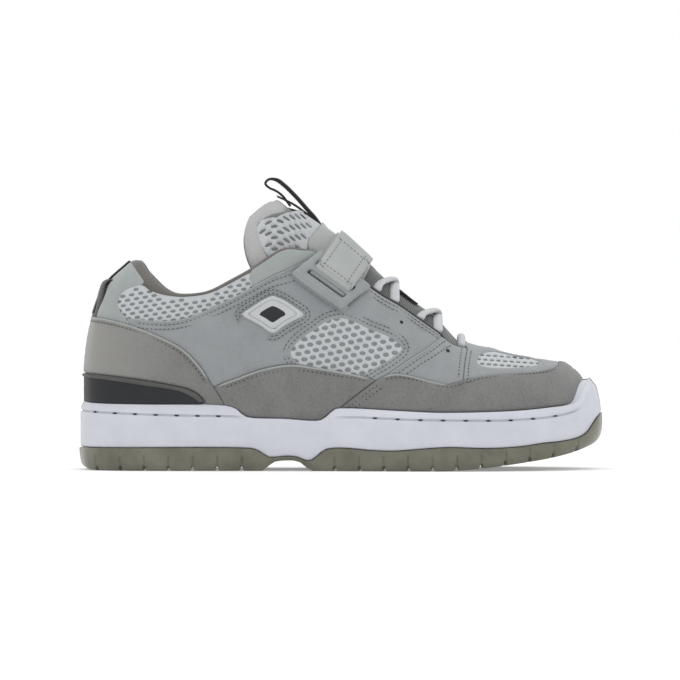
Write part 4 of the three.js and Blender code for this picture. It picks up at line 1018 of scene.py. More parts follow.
def creased(kind):
    """Rise of the creases at chart places, less near a cut edge."""
    lines = []
    for side in (LATERAL, MEDIAL):
        ends = np.array([row[:4] for row in CREASES]).reshape(-1, 2) * (LENGTH, COLLAR_HEIGHT)
        lines.append(drawn(ends, side, kind).reshape(-1, 4))
    lines = np.hstack([np.vstack(lines), np.array([row[4:] for row in CREASES * 2])])

    def shape(places, distance):
        total = np.zeros(len(places))
        for x0, z0, x1, z1, rise, width in lines:
            start, run = np.array((x0, z0)), np.array((x1 - x0, z1 - z0))
            t = np.clip(((places - start) @ run) / (run @ run), 0, 1)
            gap = np.hypot(*(places - start - t[:, None] * run).T)
            total += rise * np.exp(-((gap / width) ** 2))
        return total * ease(0, 4, distance)

    return shape


CREASED = {kind: creased(kind) for kind in ("heel", "toe", "ridge")}

# %% Heel pieces
counter_low = lambda x: np.maximum(wall_top(x) + 0.1, insert_top(x) + 0.2)
COUNTER_FOOT = 84.6
counter_front = {side: drawn(collar_line["counter front"], side, "heel") for side in (LATERAL, MEDIAL)}
outline = np.vstack([
    round_heel(counter_top, 0.258 * LENGTH)[:-1], counter_front[MEDIAL][:-1],
    round_heel(counter_low, COUNTER_FOOT)[::-1], counter_front[LATERAL][::-1][1:-1],
])
counter = panel("heel_counter_suede", "heel", outline, 0.05, SUEDE, SUEDE_GREY, radius=1.2,
                shape=CREASED["heel"])
settle(counter, "suede", "heel_counter")

INSERT_END = 73.2
outline = np.vstack([round_heel(insert_top, INSERT_END),
                     round_heel(lambda x: wall_top(x) - 0.6, INSERT_END)[::-1][1:-1]])
insert = panel("heel_insert_shell", "heel", outline, 0.05, HEEL_INSERT - 1.6, CHARCOAL, radius=0.8)
settle(insert, "charcoal_trim", "heel_insert")
outline = np.vstack([round_heel(insert_top, INSERT_END), round_heel(insert_step, 0.231 * LENGTH)[::-1]])
insert_rim = panel("heel_insert_rim", "heel", outline, 0.05, HEEL_INSERT - 0.6, CHARCOAL_RIM, radius=0.7)
settle(insert_rim, "charcoal_trim")

rim_line = lambda x: np.full_like(np.asarray(x, float), RIM_HEIGHT)
heel_front = np.vstack([collar_line["heel panel front"],
                        smooth_line(COLLAR_EDGE[:3][::-1], COLLAR_HEIGHT)[1:]])
heel_fronts = {side: drawn(heel_front, side, "heel") for side in (LATERAL, MEDIAL)}
outline = np.vstack([
    round_heel(counter_top, heel_front[0, 0])[:-1], heel_fronts[MEDIAL][:-1],
    round_heel(rim_line, COLLAR_EDGE[0][0] * LENGTH)[::-1], heel_fronts[LATERAL][::-1][1:-1],
])
heel_panel = panel("heel_panel_nubuck", "heel", outline, 0.05, NUBUCK, NUBUCK_PALE, radius=0.8)
settle(heel_panel, "pale_nubuck", "heel_panel")

# %% Side pieces
counter_run = collar_line["counter top"]
counter_run = counter_run[counter_run[:, 0] > 0.0945 * LENGTH]
wall_run = np.linspace(COUNTER_FOOT, FOXING_FRONT[-1][0] * LENGTH, 60)
wall_run = np.column_stack([wall_run, wall_top(wall_run) + 0.1])
net_front = np.array([(0.331, 0.822), (0.325, 0.887)]) * (LENGTH, COLLAR_HEIGHT)
edge_run = collar_line["collar edge"]


def between(line, x0, x1):
    return line[(line[:, 0] > min(x0, x1)) & (line[:, 0] < max(x0, x1))]


def side_outlines():
    """Side-view outlines of the pieces that both sides of the shoe have."""
    line = collar_line
    quarter = np.vstack([
        counter_run, line["foxing top"][1:], line["vamp rear"],
        between(line["throat"], 0, 0.692 * LENGTH), line["quarter top"][::-1],
    ])
    stay = np.vstack([
        between(line["toe wrap top"], 0.583 * LENGTH, 0.73 * LENGTH), line["toe seam"],
        between(line["throat"], 0.692 * LENGTH, 0.737 * LENGTH), line["vamp rear"][::-1],
    ])
    side_panel = np.vstack([line["counter front"], wall_run[1:-1], line["foxing front"][::-1],
                            line["foxing top"][::-1][1:-1]])
    ankle = np.vstack([
        net_front[:1], between(line["quarter top"], net_front[0, 0], 0.454 * LENGTH),
        [(0.4545 * LENGTH, 0.965 * COLLAR_HEIGHT)],
        between(edge_run, net_front[1, 0], 0.45 * LENGTH)[::-1], net_front[1:],
    ])
    return {"quarter": quarter, "fore_stay": stay, "side_panel": side_panel, "ankle_panel": ankle}


window = smooth_line(SIDE_WINDOW, COLLAR_HEIGHT, 8, closed=True)
vent = smooth_line(TOE_VENT, COLLAR_HEIGHT, 8, closed=True)
SIDE_LOOKS = {
    "quarter": (NUBUCK, NUBUCK_GREY, "nubuck"), "fore_stay": (NUBUCK, NUBUCK_GREY, "nubuck"),
    "side_panel": (SUEDE, SUEDE_GREY, "suede"), "ankle_panel": (NUBUCK, NUBUCK_PALE, "pale_nubuck"),
}
for side, side_name in SIDE_NAMES.items():
    for name, outline in side_outlines().items():
        thick, material, slot = SIDE_LOOKS[name]
        holes = [evenly(drawn(window, side), 1.6)] if name == "quarter" else []
        made = panel(f"{name}_{side_name}_cut", "ridge", drawn(outline, side), 0.05, thick, material,
                     radius=0.8, holes=holes,
                     shape=CREASED["ridge"])
        settle(made, slot, f"{name}_{side_name}")

# %% Toe pieces
in_wrap = lambda p: (p[..., 2] < toe_wrap_top(p[..., 0])) | (p[..., 0] > TOE_OVER)


def toe_boundary(side, from_x, kind, count=110):
    """Chart places of the seam between the toe wrap and the vamp, from from_x to the toe tip."""
    first = station_of(from_x, float(toe_wrap_top(from_x)), side)
    station = 1 - (1 - first) * np.linspace(1, 0, count) ** 1.4
    return chart_of(station, side, share_where(station, side, in_wrap), kind)


def toe_foot(side, from_x, count=110):
    first = station_of(from_x, float(wall_top(from_x)) + 0.1, side)
    station = 1 - (1 - first) * np.linspace(1, 0, count) ** 1.4
    return chart_of(station, side,
                    share_where(station, side, lambda p: p[..., 2] < wall_top(p[..., 0]) + 0.1), "toe")


foxing_front = collar_line["foxing front"] + (0.35, 0)
fronts = {side: drawn(foxing_front, side, "toe") for side in (LATERAL, MEDIAL)}
tops = {side: toe_boundary(side, 0.567 * LENGTH + 0.6, "toe") for side in (LATERAL, MEDIAL)}
feet = {side: toe_foot(side, foxing_front[-1, 0] + 0.5) for side in (LATERAL, MEDIAL)}
outline = np.vstack([
    tops[LATERAL], tops[MEDIAL][::-1][1:], fronts[MEDIAL], feet[MEDIAL], feet[LATERAL][::-1][1:],
    fronts[LATERAL][::-1],
])
wrap = panel("toe_wrap_suede", "toe", outline, 0.05, SUEDE, SUEDE_GREY, radius=1.2, shape=CREASED["toe"])
settle(wrap, "suede", "toe_wrap")

vamp_edge = {side: toe_boundary(side, 0.731 * LENGTH, "ridge") for side in (LATERAL, MEDIAL)}
seams = {side: drawn(collar_line["toe seam"][1:] + (0.35, 0), side) for side in (LATERAL, MEDIAL)}
vents = [evenly(drawn(vent, side), 1.4) for side in (LATERAL, MEDIAL)]
outline = np.vstack([
    vamp_edge[LATERAL], vamp_edge[MEDIAL][::-1][1:], seams[MEDIAL], ridge_place(0.722 * LENGTH),
    seams[LATERAL][::-1],
])
vamp = panel("vamp_nubuck", "ridge", outline, 0.05, NUBUCK, NUBUCK_GREY, radius=0.8, holes=vents,
             shape=CREASED["ridge"])
settle(vamp, "nubuck", "vamp")

# %% [markdown]
# ## Padded collar and tongue
# Foam under knit gives the collar its rolled edge. The roll is swept round the opening: each profile starts
# at the upper's cut edge, goes over the foam and runs down the inside. The tongue is one padded blade under
# the lacing. Their forms are drawn in code, because a cloth simulation would move them off the plain solids
# around them.

# %% Collar lining
PAD_FRONT, PAD_HEEL, PAD_DEPTH = 1.8, 8.0, 48.0
LINING_FACE = -UPPER_WALL - CLEARANCE


def pad_at(along):
    return PAD_FRONT + (PAD_HEEL - PAD_FRONT) * (1 - ease(0.12, 0.34, along))


def collar_profiles(side, count=150):
    """Rows of points over the collar's roll, from the front of one side to the heel's middle."""
    front = station_of(0.447 * LENGTH, float(collar_edge(0.447 * LENGTH)) - 0.5, side)
    station = front * np.linspace(0, 1, count) ** 1.15
    rim = lambda p: p[..., 2] < np.where(p[..., 0] < 0.1 * LENGTH, RIM_HEIGHT, collar_edge(p[..., 0]))
    top = lambda p: p[..., 2] < np.where(p[..., 0] < 0.098 * LENGTH, 0.945 * COLLAR_HEIGHT,
                                         collar_top(p[..., 0])) - 0.4
    foot = lambda p: p[..., 2] < np.where(p[..., 0] < 0.1 * LENGTH, RIM_HEIGHT,
                                          collar_edge(p[..., 0])) - PAD_DEPTH
    edge, crest, low = (share_where(station, side, test) for test in (rim, top, foot))
    crest = np.maximum(crest, edge + 0.012)
    x = on_last(station, side, edge)[:, 0]
    pad = pad_at(x / LENGTH)
    rows = []
    outer, inner = -0.2, LINING_FACE - pad
    for angle in np.radians([-8, 8, 24, 45, 68, 90, 115, 140, 165, 180]):
        out = (outer + inner) / 2 + (outer - inner) / 2 * math.cos(angle)
        share = edge + (crest - edge) * math.sin(angle)
        rows.append(on_last(station, side, share, out, out * 0 - 2.0))
    for t in np.linspace(0.08, 1, 14):
        bulge = 1 + 0.12 * math.sin(math.pi * min(t * 1.6, 1))
        out = LINING_FACE - pad * bulge * (1 - ease(0.72, 1.0, t))
        share = edge + (low - edge) * t
        rows.append(on_last(station, side, share, out, out * 0 - 2.0))
    return rows


outer_rows, inner_rows = collar_profiles(LATERAL), collar_profiles(MEDIAL)
rows = [np.vstack([a[::-1], b[1:]]) for a, b in zip(outer_rows, inner_rows)]
points, faces = skin(rows)
lining = make_mesh("collar_padding", points, faces, LINING, 60)
thick = lining.modifiers.new("ply", "SOLIDIFY")
thick.thickness, thick.offset = 0.0012, -1
settle(lining, "knit_lining", "collar_lining")

# %% Tongue
TONGUE_PAD = 7.0


def tongue_tuck(x):
    return LINING_FACE - (PAD_FRONT + 8 * CLEARANCE) * (1 - ease(0.45, 0.5, x / LENGTH))


tongue_rear = smooth_line(TONGUE_REAR, TONGUE_HEIGHT)
rear_by_height = lambda z: np.interp(z, tongue_rear[:, 1], tongue_rear[:, 0])


def station_where(share, side, behind, low=0.15, high=0.9, out=-3.0, lift=None):
    """The station at which each share's line along the shoe passes out of a region."""
    low, high = np.full_like(share, low), np.full_like(share, high)
    for _ in range(26):
        middle = (low + high) / 2
        p = on_last(middle, side, share, out, lift)
        low, high = np.where(behind(p), middle, low), np.where(behind(p), high, middle)
    return (low + high) / 2


def tongue_edge(side, count=50):
    """Chart places of the tongue's rear edge on one side, from the wing to the ridge."""
    share = 1 - (1 - 0.45) * np.linspace(1, 0, count) ** 1.5
    station = station_where(share, side, lambda p: p[..., 0] < rear_by_height(p[..., 2]))
    return chart_of(station, side, share, "ridge")


def tongue_wing(side, count=50):
    share_first = 0.45
    first = station_where(np.array([share_first]), side, lambda p: p[..., 0] < rear_by_height(p[..., 2]))[0]
    last = station_of(0.735 * LENGTH, 0.36 * COLLAR_HEIGHT + 12, side)
    station = np.linspace(first, last, count)
    share = np.linspace(share_first, 0.72, count)
    return chart_of(station, side, share, "ridge")


edges = {side: tongue_edge(side) for side in (LATERAL, MEDIAL)}
wings = {side: tongue_wing(side) for side in (LATERAL, MEDIAL)}
toe_end = ridge_place(0.738 * LENGTH)
outline = np.vstack([
    wings[LATERAL], toe_end, wings[MEDIAL][::-1], edges[MEDIAL][1:], edges[LATERAL][::-1][1:-1],
])


def tongue_base(places):
    """How far the tongue's face lies in from the last's own."""
    return tongue_tuck(outline_place(places[:, 0] / LENGTH, LATERAL)[0])


TONGUE_RECESS = 1.4


def sewn_channel(places, distance):
    """The seam that closes the roll at the tongue's edge, and the recess for the net inside it."""
    seam = -0.9 * np.exp(-(((distance - 5.0) / 0.7) ** 2)) * (1 - ease(112, 122, places[:, 0]))
    return seam - TONGUE_RECESS * ease(4.2, 6.0, distance) * (1 - ease(140, 150, places[:, 0]))


tongue = panel("tongue_blade", "ridge", outline, -TONGUE_PAD, 0.0, TONGUE_CLOTH, radius=4.5, spacing=1.8,
               both=True,
               base=tongue_base, lift=LINING_FACE, rings=(0.4, 1.2, 2.4, 4.2, 5.3, 6.0, 6.7), grid=3.0,
               shape=sewn_channel)
settle(tongue, "tongue_fabric", "tongue")

# %% [markdown]
# ## Strap and ring
# A flat strap comes over the tongue from the inner side, through a moulded ring sewn to the outer side, and
# back on itself. The ring is a plate with two slots. Its lower bar is anchored to the quarter, its upper
# part stands off it.

# %% Strap
RING_CORNER = np.array((0.4045 * LENGTH, 0.89 * COLLAR_HEIGHT))
RING_LONG, RING_SHORT = np.array((0.812, -0.584)), np.array((0.78, 0.62))
RING_LENGTH, RING_HEIGHT, RING_SLOT, RING_THICKNESS = 35.5, 22.1, 3.2, 2.2
STRAP_WIDTH, STRAP_PLY = 24.0, 1.6
STRAP_FROM, STRAP_TO = (RING_LENGTH - STRAP_WIDTH) / 2, (RING_LENGTH + STRAP_WIDTH) / 2
ANCHOR_SLOT, STRAP_SLOT = 0.27 * RING_HEIGHT, 0.58 * RING_HEIGHT
STRAP_RISE = np.array((0.57, 0.82))
PLY_FOOT = NUBUCK + 2 * CLEARANCE
BAR_FOOT = PLY_FOOT + STRAP_PLY + CLEARANCE
FLAP_FOOT = BAR_FOOT + RING_THICKNESS + CLEARANCE
RIDGE_SINK = PLY_FOOT - LINING_FACE - CLEARANCE


def on_ring(long, short):
    return RING_CORNER + np.multiply.outer(long, RING_LONG) + np.multiply.outer(short, RING_SHORT)


def strap_edge(side, start, low_share, out, count=60):
    """Chart places of one edge of the strap, from a share up to the ridge."""
    share = 1 - (1 - low_share) * np.linspace(1, 0, count) ** 1.6

    def behind(p):
        return (p[..., 0] - start[0]) * STRAP_RISE[1] < (p[..., 2] - start[1]) * STRAP_RISE[0]

    return chart_of(station_where(share, side, behind, 0.25, 0.8, out, out - RIDGE_SINK), side, share,
                    "ridge")


def strap_line(side, long, short, out, dip=0.0):
    """Where one edge of the strap starts: its side-view point and the share there."""
    point = on_ring(long, short) - dip * np.array((0.4, 1.0))
    return point, find_on_last([point], side, out, out - RIDGE_SINK)[1][0]


def strap_outline(short, out, end_share=1.0, inner_dip=None):
    """The strap's outline from the ring to the ridge, or over it and down the inner side."""
    rear, rear_share = strap_line(LATERAL, STRAP_FROM, short, out)
    front, front_share = strap_line(LATERAL, STRAP_TO, short, out)
    rear_run, front_run = strap_edge(LATERAL, rear, rear_share, out), strap_edge(LATERAL, front,
            front_share, out)
    if inner_dip is None:
        keep = np.abs(rear_run[:, 1]) > (1 - end_share) * GIRTH
        rear_run = rear_run[keep]
        front_run = front_run[np.abs(front_run[:, 1]) > (1 - end_share) * GIRTH]
        return np.vstack([rear_run[::-1], front_run])
    _, inner_rear_share = strap_line(MEDIAL, STRAP_FROM, short, out, inner_dip)
    _, inner_front_share = strap_line(MEDIAL, STRAP_TO, short, out, inner_dip)
    inner = [strap_edge(MEDIAL, rear, inner_rear_share, out),
             strap_edge(MEDIAL, front, inner_front_share, out)]
    return np.vstack([rear_run[::-1], front_run, inner[1][::-1][1:], inner[0][:-1]])


strap = panel("strap_band", "ridge", strap_outline(STRAP_SLOT + 0.6, PLY_FOOT, inner_dip=16), PLY_FOOT,
              PLY_FOOT + STRAP_PLY,
              STRAP_GREY, radius=0.5, both=True, base=lambda p: p[:, 0] * 0, lift=-RIDGE_SINK)
settle(strap, "strap_webbing", "strap")
flap = panel("strap_flap", "ridge",
        strap_outline(STRAP_SLOT + 0.6, FLAP_FOOT + STRAP_PLY, end_share=0.985), FLAP_FOOT,
        FLAP_FOOT + STRAP_PLY,
             STRAP_GREY, radius=0.5, both=True, base=lambda p: p[:, 0] * 0, lift=-RIDGE_SINK,
             shape=lambda p, d: -0.4 * np.exp(-(((np.abs(p[:, 1]) - 3.6) / 0.45) ** 2)), grid=1.6)
settle(flap, "strap_webbing")
BEND = np.linspace(0, math.pi, 12)
fold_short = STRAP_SLOT + 0.6
fold_rows = []
for angle in BEND:
    out = (FLAP_FOOT + PLY_FOOT + STRAP_PLY) / 2 - (FLAP_FOOT - PLY_FOOT) / 2 * math.cos(angle)
    dip = 2.2 * math.sin(angle)
    line = on_ring(np.linspace(STRAP_FROM, STRAP_TO, 14), np.full(14, fold_short)) - dip * STRAP_RISE
    station, share = find_on_last(line, LATERAL, out, out - RIDGE_SINK)
    fold_rows.append((station, share, out))
outer = [on_last(u, LATERAL, q, o, o * 0 + o - RIDGE_SINK) for u, q, o in fold_rows]
points, faces = skin(outer)
fold = make_mesh("strap_bend", points, faces, STRAP_GREY, 60)
thick = fold.modifiers.new("ply", "SOLIDIFY")
thick.thickness, thick.offset = STRAP_PLY * MM, 0
settle(fold, "strap_webbing")

# %% Ring


def ring_band(long_from, long_to, low, high, corner=1.6):
    """A band on the ring's plate with rounded corners, as side-view points."""
    made = []
    ends = [(long_from, low), (long_to, low), (long_to, high), (long_from, high)]
    for i, (long, short) in enumerate(ends):
        before, after = np.array(ends[i - 1]), np.array(ends[(i + 1) % 4])
        here = np.array((long, short), float)
        start = here + (before - here) / np.abs(before - here).sum() * corner
        stop = here + (after - here) / np.abs(after - here).sum() * corner
        for t in np.linspace(0, 1, 6):
            made.append((1 - t) ** 2 * start + 2 * t * (1 - t) * here + t * t * stop)
    made = np.array(made)
    return on_ring(made[:, 0], made[:, 1])


slots = [ring_band(STRAP_FROM - 0.8, STRAP_TO + 0.8, low, low + RING_SLOT, 0.8) for low in (ANCHOR_SLOT,
        STRAP_SLOT)]
RING_FACE = BAR_FOOT + RING_THICKNESS
slots = [evenly(drawn(slot, LATERAL, out=RING_FACE, lift=RING_FACE - RIDGE_SINK), 1.0) for slot in slots]
plate = panel("ring_plate", "ridge",
        drawn(ring_band(0, RING_LENGTH, 0, RING_HEIGHT), LATERAL, out=RING_FACE,
              lift=RING_FACE - RIDGE_SINK), BAR_FOOT,
              BAR_FOOT + RING_THICKNESS, RING_GREY, radius=0.7, spacing=1.2, both=True, holes=slots,
              base=lambda p: p[:, 0] * 0, lift=-RIDGE_SINK, grid=1.6)
settle(plate, "ring_plastic", "strap_ring")
bar_outline = drawn(ring_band(0, RING_LENGTH, 0.4, ANCHOR_SLOT - 0.5), LATERAL, out=RING_FACE,
                    lift=RING_FACE - RIDGE_SINK * 0.5)
bar = panel("ring_bar", "ridge", bar_outline, NUBUCK,
            BAR_FOOT + RING_THICKNESS + 0.7, RING_GREY, radius=1.2, spacing=1.2, base=lambda p: p[:, 0] * 0,
            lift=-RIDGE_SINK * 0.5)
settle(bar, "ring_plastic")
anchor = ring_band(STRAP_FROM, STRAP_TO, ANCHOR_SLOT + 1.5, ANCHOR_SLOT + RING_SLOT + 1.0, 0.6)
anchor = drawn(anchor, LATERAL, out=RING_FACE, lift=RING_FACE - RIDGE_SINK)
anchor = panel("ring_anchor_band", "ridge", anchor, PLY_FOOT, BAR_FOOT + 0.9, NUBUCK_GREY, radius=0.4,
               spacing=1.2, both=True,
               base=lambda p: p[:, 0] * 0, lift=-RIDGE_SINK)
settle(anchor, "nubuck")

# %% [markdown]
# ## Nets
# The nets are knitted with rows of oval holes over a darker cloth. Each hole is really cut, because a
# painted one would look flat from the side. A lattice of ovals is laid over the window and cut back to its
# outline.

# %% Net panels


def oval(count, long, short, turn=0.0):
    angle = np.linspace(0, 2 * math.pi, count, endpoint=False)
    x, z = long / 2 * np.cos(angle), short / 2 * np.sin(angle)
    return np.stack([x * math.cos(turn) - z * math.sin(turn), x * math.sin(turn) + z * math.cos(turn)], -1)


def lattice(outline, first, second, margin, anchor):
    """Places of a slanted lattice that lie inside an outline by more than a margin."""
    low, high = outline.min(0), outline.max(0)
    steps = range(-60, 61)
    places = np.array([anchor + i * np.array(first) + j * np.array(second) for i in steps for j in steps])
    near = ((places > low) & (places < high)).all(1)
    places = places[near]
    places = places[inside(places, [outline])]
    return places[edge_distance(places, [outline]) > margin]


def net(name, outline, side, first, second, hole, anchor, high=0.75, low=0.1, turn=0.0):
    places = lattice(outline, first, second, hole[0] / 2 + 0.4, np.array(anchor))
    ring = oval(12, *hole, turn)
    holes = list(drawn((places[:, None] + ring).reshape(-1, 2), side).reshape(len(places), len(ring), 2))
    print(name, len(holes), "holes")
    return panel(name, "ridge", drawn(outline, side), low, high, NET_WHITE, radius=0.45, spacing=1.5,
                 holes=holes,
                 rings=(0.4,), grid=1.3)


def grown(outline, by):
    """A closed outline moved outwards."""
    along = np.roll(outline, -1, 0) - np.roll(outline, 1, 0)
    normal = np.stack([along[:, 1], -along[:, 0]], -1) / np.maximum(np.hypot(*along.T), 1e-9)[:, None]
    area = np.sum(outline[:, 0] * np.roll(outline[:, 1], -1) - np.roll(outline[:, 0], -1) * outline[:, 1])
    return outline + normal * by * (1 if area > 0 else -1)


collar_net = np.vstack([
    between(collar_line["quarter top"], 0.12 * LENGTH, net_front[0, 0] + 2.5) - (0, 3.2),
    [(net_front[0, 0] + 3.5, net_front[0, 1]), (net_front[1, 0] + 3.5, net_front[1, 1] + 0.6)],
    between(edge_run, 0.135 * LENGTH, net_front[1, 0])[::-1],
    collar_line["heel panel front"][::-1] + (-3.2, 0),
])
for side, side_name in SIDE_NAMES.items():
    made = net(f"side_window_net_{side_name}", grown(window, 2.8), side, (5.0, 1.1), (-1.7, -4.2),
               (3.5, 2.5), (150, 68))
    settle(made, "spacer_mesh")
    made = net(f"collar_net_{side_name}", collar_net, side, (5.1, 0.9), (2.4, 3.1), (3.1, 1.75), (60, 92),
               turn=0.15)
    settle(made, "spacer_mesh")
    made = net(f"toe_vent_net_{side_name}", grown(vent, 2.0), side, (3.8, -0.3), (1.9, 2.3), (2.6, 1.2),
               (245, 62))
    settle(made, "spacer_mesh")

# %% Badge
BADGE_CENTRE = np.array((0.371 * LENGTH, 0.694 * COLLAR_HEIGHT))
BADGE_HALF = np.array((18.8, 11.1))


def diamond(share, corner=0.12):
    """A diamond with rounded corners."""
    ends = np.array([(-1, 0), (0, 1), (1, 0), (0, -1)]) * BADGE_HALF * share
    made = []
    for i, here in enumerate(ends):
        start, stop = here + (ends[i - 1] - here) * corner, here + (ends[(i + 1) % 4] - here) * corner
        t = np.linspace(0, 1, 7)[:, None]
        made.append((1 - t) ** 2 * start + 2 * t * (1 - t) * here + t * t * stop)
    return BADGE_CENTRE + np.vstack(made)


badge_foot = NUBUCK + 0.05
badge = panel("badge_frame", "ridge", drawn(diamond(1.0), LATERAL), badge_foot - 0.1, badge_foot + 1.3,
              BADGE_GREY, radius=0.7,
              spacing=1.1, holes=[evenly(drawn(diamond(0.78), LATERAL), 1.1)])
settle(badge, "ring_plastic", "side_badge")
badge_field = panel("badge_field", "ridge", drawn(diamond(0.79), LATERAL), badge_foot - 0.1,
                    badge_foot + 0.7, BADGE_GREY,
                    radius=0.3, spacing=1.1)
settle(badge_field, "ring_plastic")
inlay = panel("badge_inlay", "ridge", drawn(diamond(0.46), LATERAL), badge_foot, badge_foot + 1.0, CHARCOAL,
              radius=0.3, spacing=1.1)
settle(inlay, "charcoal_trim")

# %% [markdown]
# ## Ribbons and laces
# The heel tab, the tongue's pull loop and the lace keeper are flat webbing, swept along a side-view path.
# The laces are flat oval cords that cross over the tongue and dive under the eyelet edges.

# %% Ribbons
WEBBING = 1.6
HEEL_TAB_PATH = [(0.0265, 0.55), (0.034, 0.6), (0.041, 0.65), (0.047, 0.676), (0.058, 0.684),
                 (0.064, 0.668),
                 (0.061, 0.64), (0.0535, 0.612)]
LOOP_PATH = [(0.4035, 0.953), (0.3955, 0.973), (0.388, 0.991), (0.376, 1.008), (0.3625, 1.02),
             (0.3555, 1.035), (0.362, 1.05),
             (0.377, 1.048), (0.392, 1.028), (0.415, 0.985), (0.4345, 0.943), (0.45, 0.91), (0.461, 0.88)]
KEEPER_PATH = [(0.6055, 0.652), (0.61, 0.65), (0.621, 0.634), (0.6345, 0.6135), (0.6455, 0.598)]


def ribbon(name, rows, thickness_at, width_at, material, bow_radius=0.0, detail=8, across=12):
    """Flat webbing with rounded edges along a side-view path."""
    path = smooth_line(rows, TONGUE_HEIGHT, detail)
    tangent = np.gradient(path, axis=0)
    tangent /= np.hypot(*tangent.T)[:, None]
    normal = np.stack([-tangent[:, 1], tangent[:, 0]], -1)
    angle = np.linspace(0, 2 * math.pi, 2 * across, endpoint=False)
    # A flattened loop: nearly straight faces joined by round edges
    wide = np.sign(np.cos(angle)) * np.abs(np.cos(angle)) ** 0.35
    thin = np.sign(np.sin(angle)) * np.abs(np.sin(angle)) ** 0.55
    rings = []
    for i, (place, up) in enumerate(zip(path, normal)):
        half = width_at(i / (len(path) - 1)) / 2
        y = wide * half
        bow = bow_radius - np.sqrt(bow_radius**2 - y**2) if bow_radius else 0 * y
        offset = thin * thickness_at(i / (len(path) - 1)) / 2
        rings.append(np.column_stack([place[0] + bow + up[0] * offset, y, place[1] + up[1] * offset]))
    points, faces = skin(rings, closed_across=True)
    count = len(angle)
    faces = [f[::-1] for f in faces]
    faces += [tuple(range(count)), tuple(range((len(rings) - 1) * count, len(rings) * count))[::-1]]
    return make_mesh(name, points, faces, material, 50)


tab = ribbon("heel_pull_tab", HEEL_TAB_PATH, lambda t: WEBBING, lambda t: 34 - 12 * (1 - abs(2 * t - 1)),
             BLACK_WEBBING, 30)
settle(tab, "black_webbing", "heel_tab")
# The front run of the loop is two plies sewn together
loop = ribbon("tongue_pull_loop", LOOP_PATH, lambda t: 1.4 + 1.1 * ease(0.5, 0.62, t), lambda t: 12.0,
              BLACK_WEBBING)
settle(loop, "black_webbing", "tongue_loop")
keeper = ribbon("lace_keeper_strap", KEEPER_PATH, lambda t: WEBBING * 0.8, lambda t: 20.0, BLACK_WEBBING)
settle(keeper, "black_webbing", "lace_keeper")

# %% Laces
LACE = 3.0
LACE_LIFT = LINING_FACE + LACE / 2 + CLEARANCE
throat_line = line_height(collar_line["throat"])


def station_along(x, side, share, out):
    """The station at which a share's line reaches x."""
    low, high = np.zeros_like(x), np.ones_like(x)
    for _ in range(26):
        middle = (low + high) / 2
        before = on_last(middle, side, share, out)[..., 0] < x
        low, high = np.where(before, middle, low), np.where(before, high, middle)
    return (low + high) / 2


def eyelet_share(x, side):
    """The share at which a lace stands just clear of the throat's edge."""
    low, high = 0.3, 1.0
    edge = float(throat_line(x)) + LACE / 2 - 0.4
    for _ in range(20):
        share = (low + high) / 2
        station = station_along(np.array([x]), side, np.array([share]), LACE_LIFT)
        z = on_last(station, side, np.array([share]), LACE_LIFT)[0, 2]
        low, high = (share, high) if z < edge else (low, share)
    return low


def lace(from_along, to_along, hump, early, late, count=40):
    """A lace strand from an outer eyelet over the tongue, moving along the shoe between two shares."""
    t = np.linspace(0, 1, count)
    across = np.abs(2 * t - 1)
    ends = eyelet_share(from_along * LENGTH, LATERAL), eyelet_share(to_along * LENGTH, MEDIAL)
    points = np.zeros((count, 3))
    for side, mine, end in ((LATERAL, t < 0.5, ends[0]), (MEDIAL, t >= 0.5, ends[1])):
        out = LACE_LIFT + hump * (1 - ease(0, 0.6, across[mine]))
        share = 1 - (1 - end) * across[mine] ** 1.6
        x = (from_along + (to_along - from_along) * ease(early, late, t[mine])) * LENGTH
        station = station_along(x, side, share, out)
        points[mine] = on_last(station, side, share, out)
    return points


def cord_mesh(name, points, diameter, material, flat=1.85, sides=14):
    """An oval cord along points, in millimetres, flat times as wide as thick, with rounded ends."""
    steps = np.concatenate([[0], np.cumsum(np.linalg.norm(np.diff(points, axis=0), axis=1))])
    t = np.linspace(0, steps[-1], int(steps[-1] / 0.9))
    points = np.stack([np.interp(t, steps, points[:, i]) for i in range(3)], -1)
    for _ in range(4):
        points[1:-1] = (points[:-2] + 2 * points[1:-1] + points[2:]) / 4
    tangent = np.gradient(points, axis=0)
    tangent /= np.linalg.norm(tangent, axis=1)[:, None]
    up = np.array((0.0, 0.0, 1.0))
    angle = np.linspace(0, 2 * math.pi, sides, endpoint=False)
    rings = []
    for i, (place, run) in enumerate(zip(points, tangent)):
        across = np.cross(run, up)
        across /= np.linalg.norm(across)
        high = np.cross(across, run)
        end = min(t[i], t[-1] - t[i])
        radius = diameter / 2 * math.sqrt(max(1 - max(1 - end / (diameter / 2), 0) ** 2, 0.02))
        rings.append(place + radius * (flat * np.outer(np.cos(angle), across) + np.outer(np.sin(angle),
                high)))
    points, faces = skin(rings, closed_across=True)
    faces = [f[::-1] for f in faces]
    faces += [tuple(range(sides)), tuple(range(len(points) - sides, len(points)))[::-1]]
    return make_mesh(name, points, faces, material, 70)


bar_lace = cord_mesh("lace_run_bar", lace(0.729, 0.729, LACE * 0.7, 0, 1), LACE * 1.4, LACE_WHITE, 1.1)
settle(bar_lace, "lace_cord", "lace_bar")
for name, low, high in (("lower", 0.684, 0.65), ("upper", 0.602, 0.568)):
    first = cord_mesh(f"lace_run_{name}_under", lace(low, high, 0, 0.42, 1), LACE, LACE_WHITE)
    settle(first, "lace_cord", f"lace_crossing_{name}")
    second = cord_mesh(f"lace_run_{name}_over", lace(high, low, LACE * 0.75, 0, 0.58), LACE, LACE_WHITE)
    settle(second, "lace_cord")
print("laces are", LACE, "mm thick")

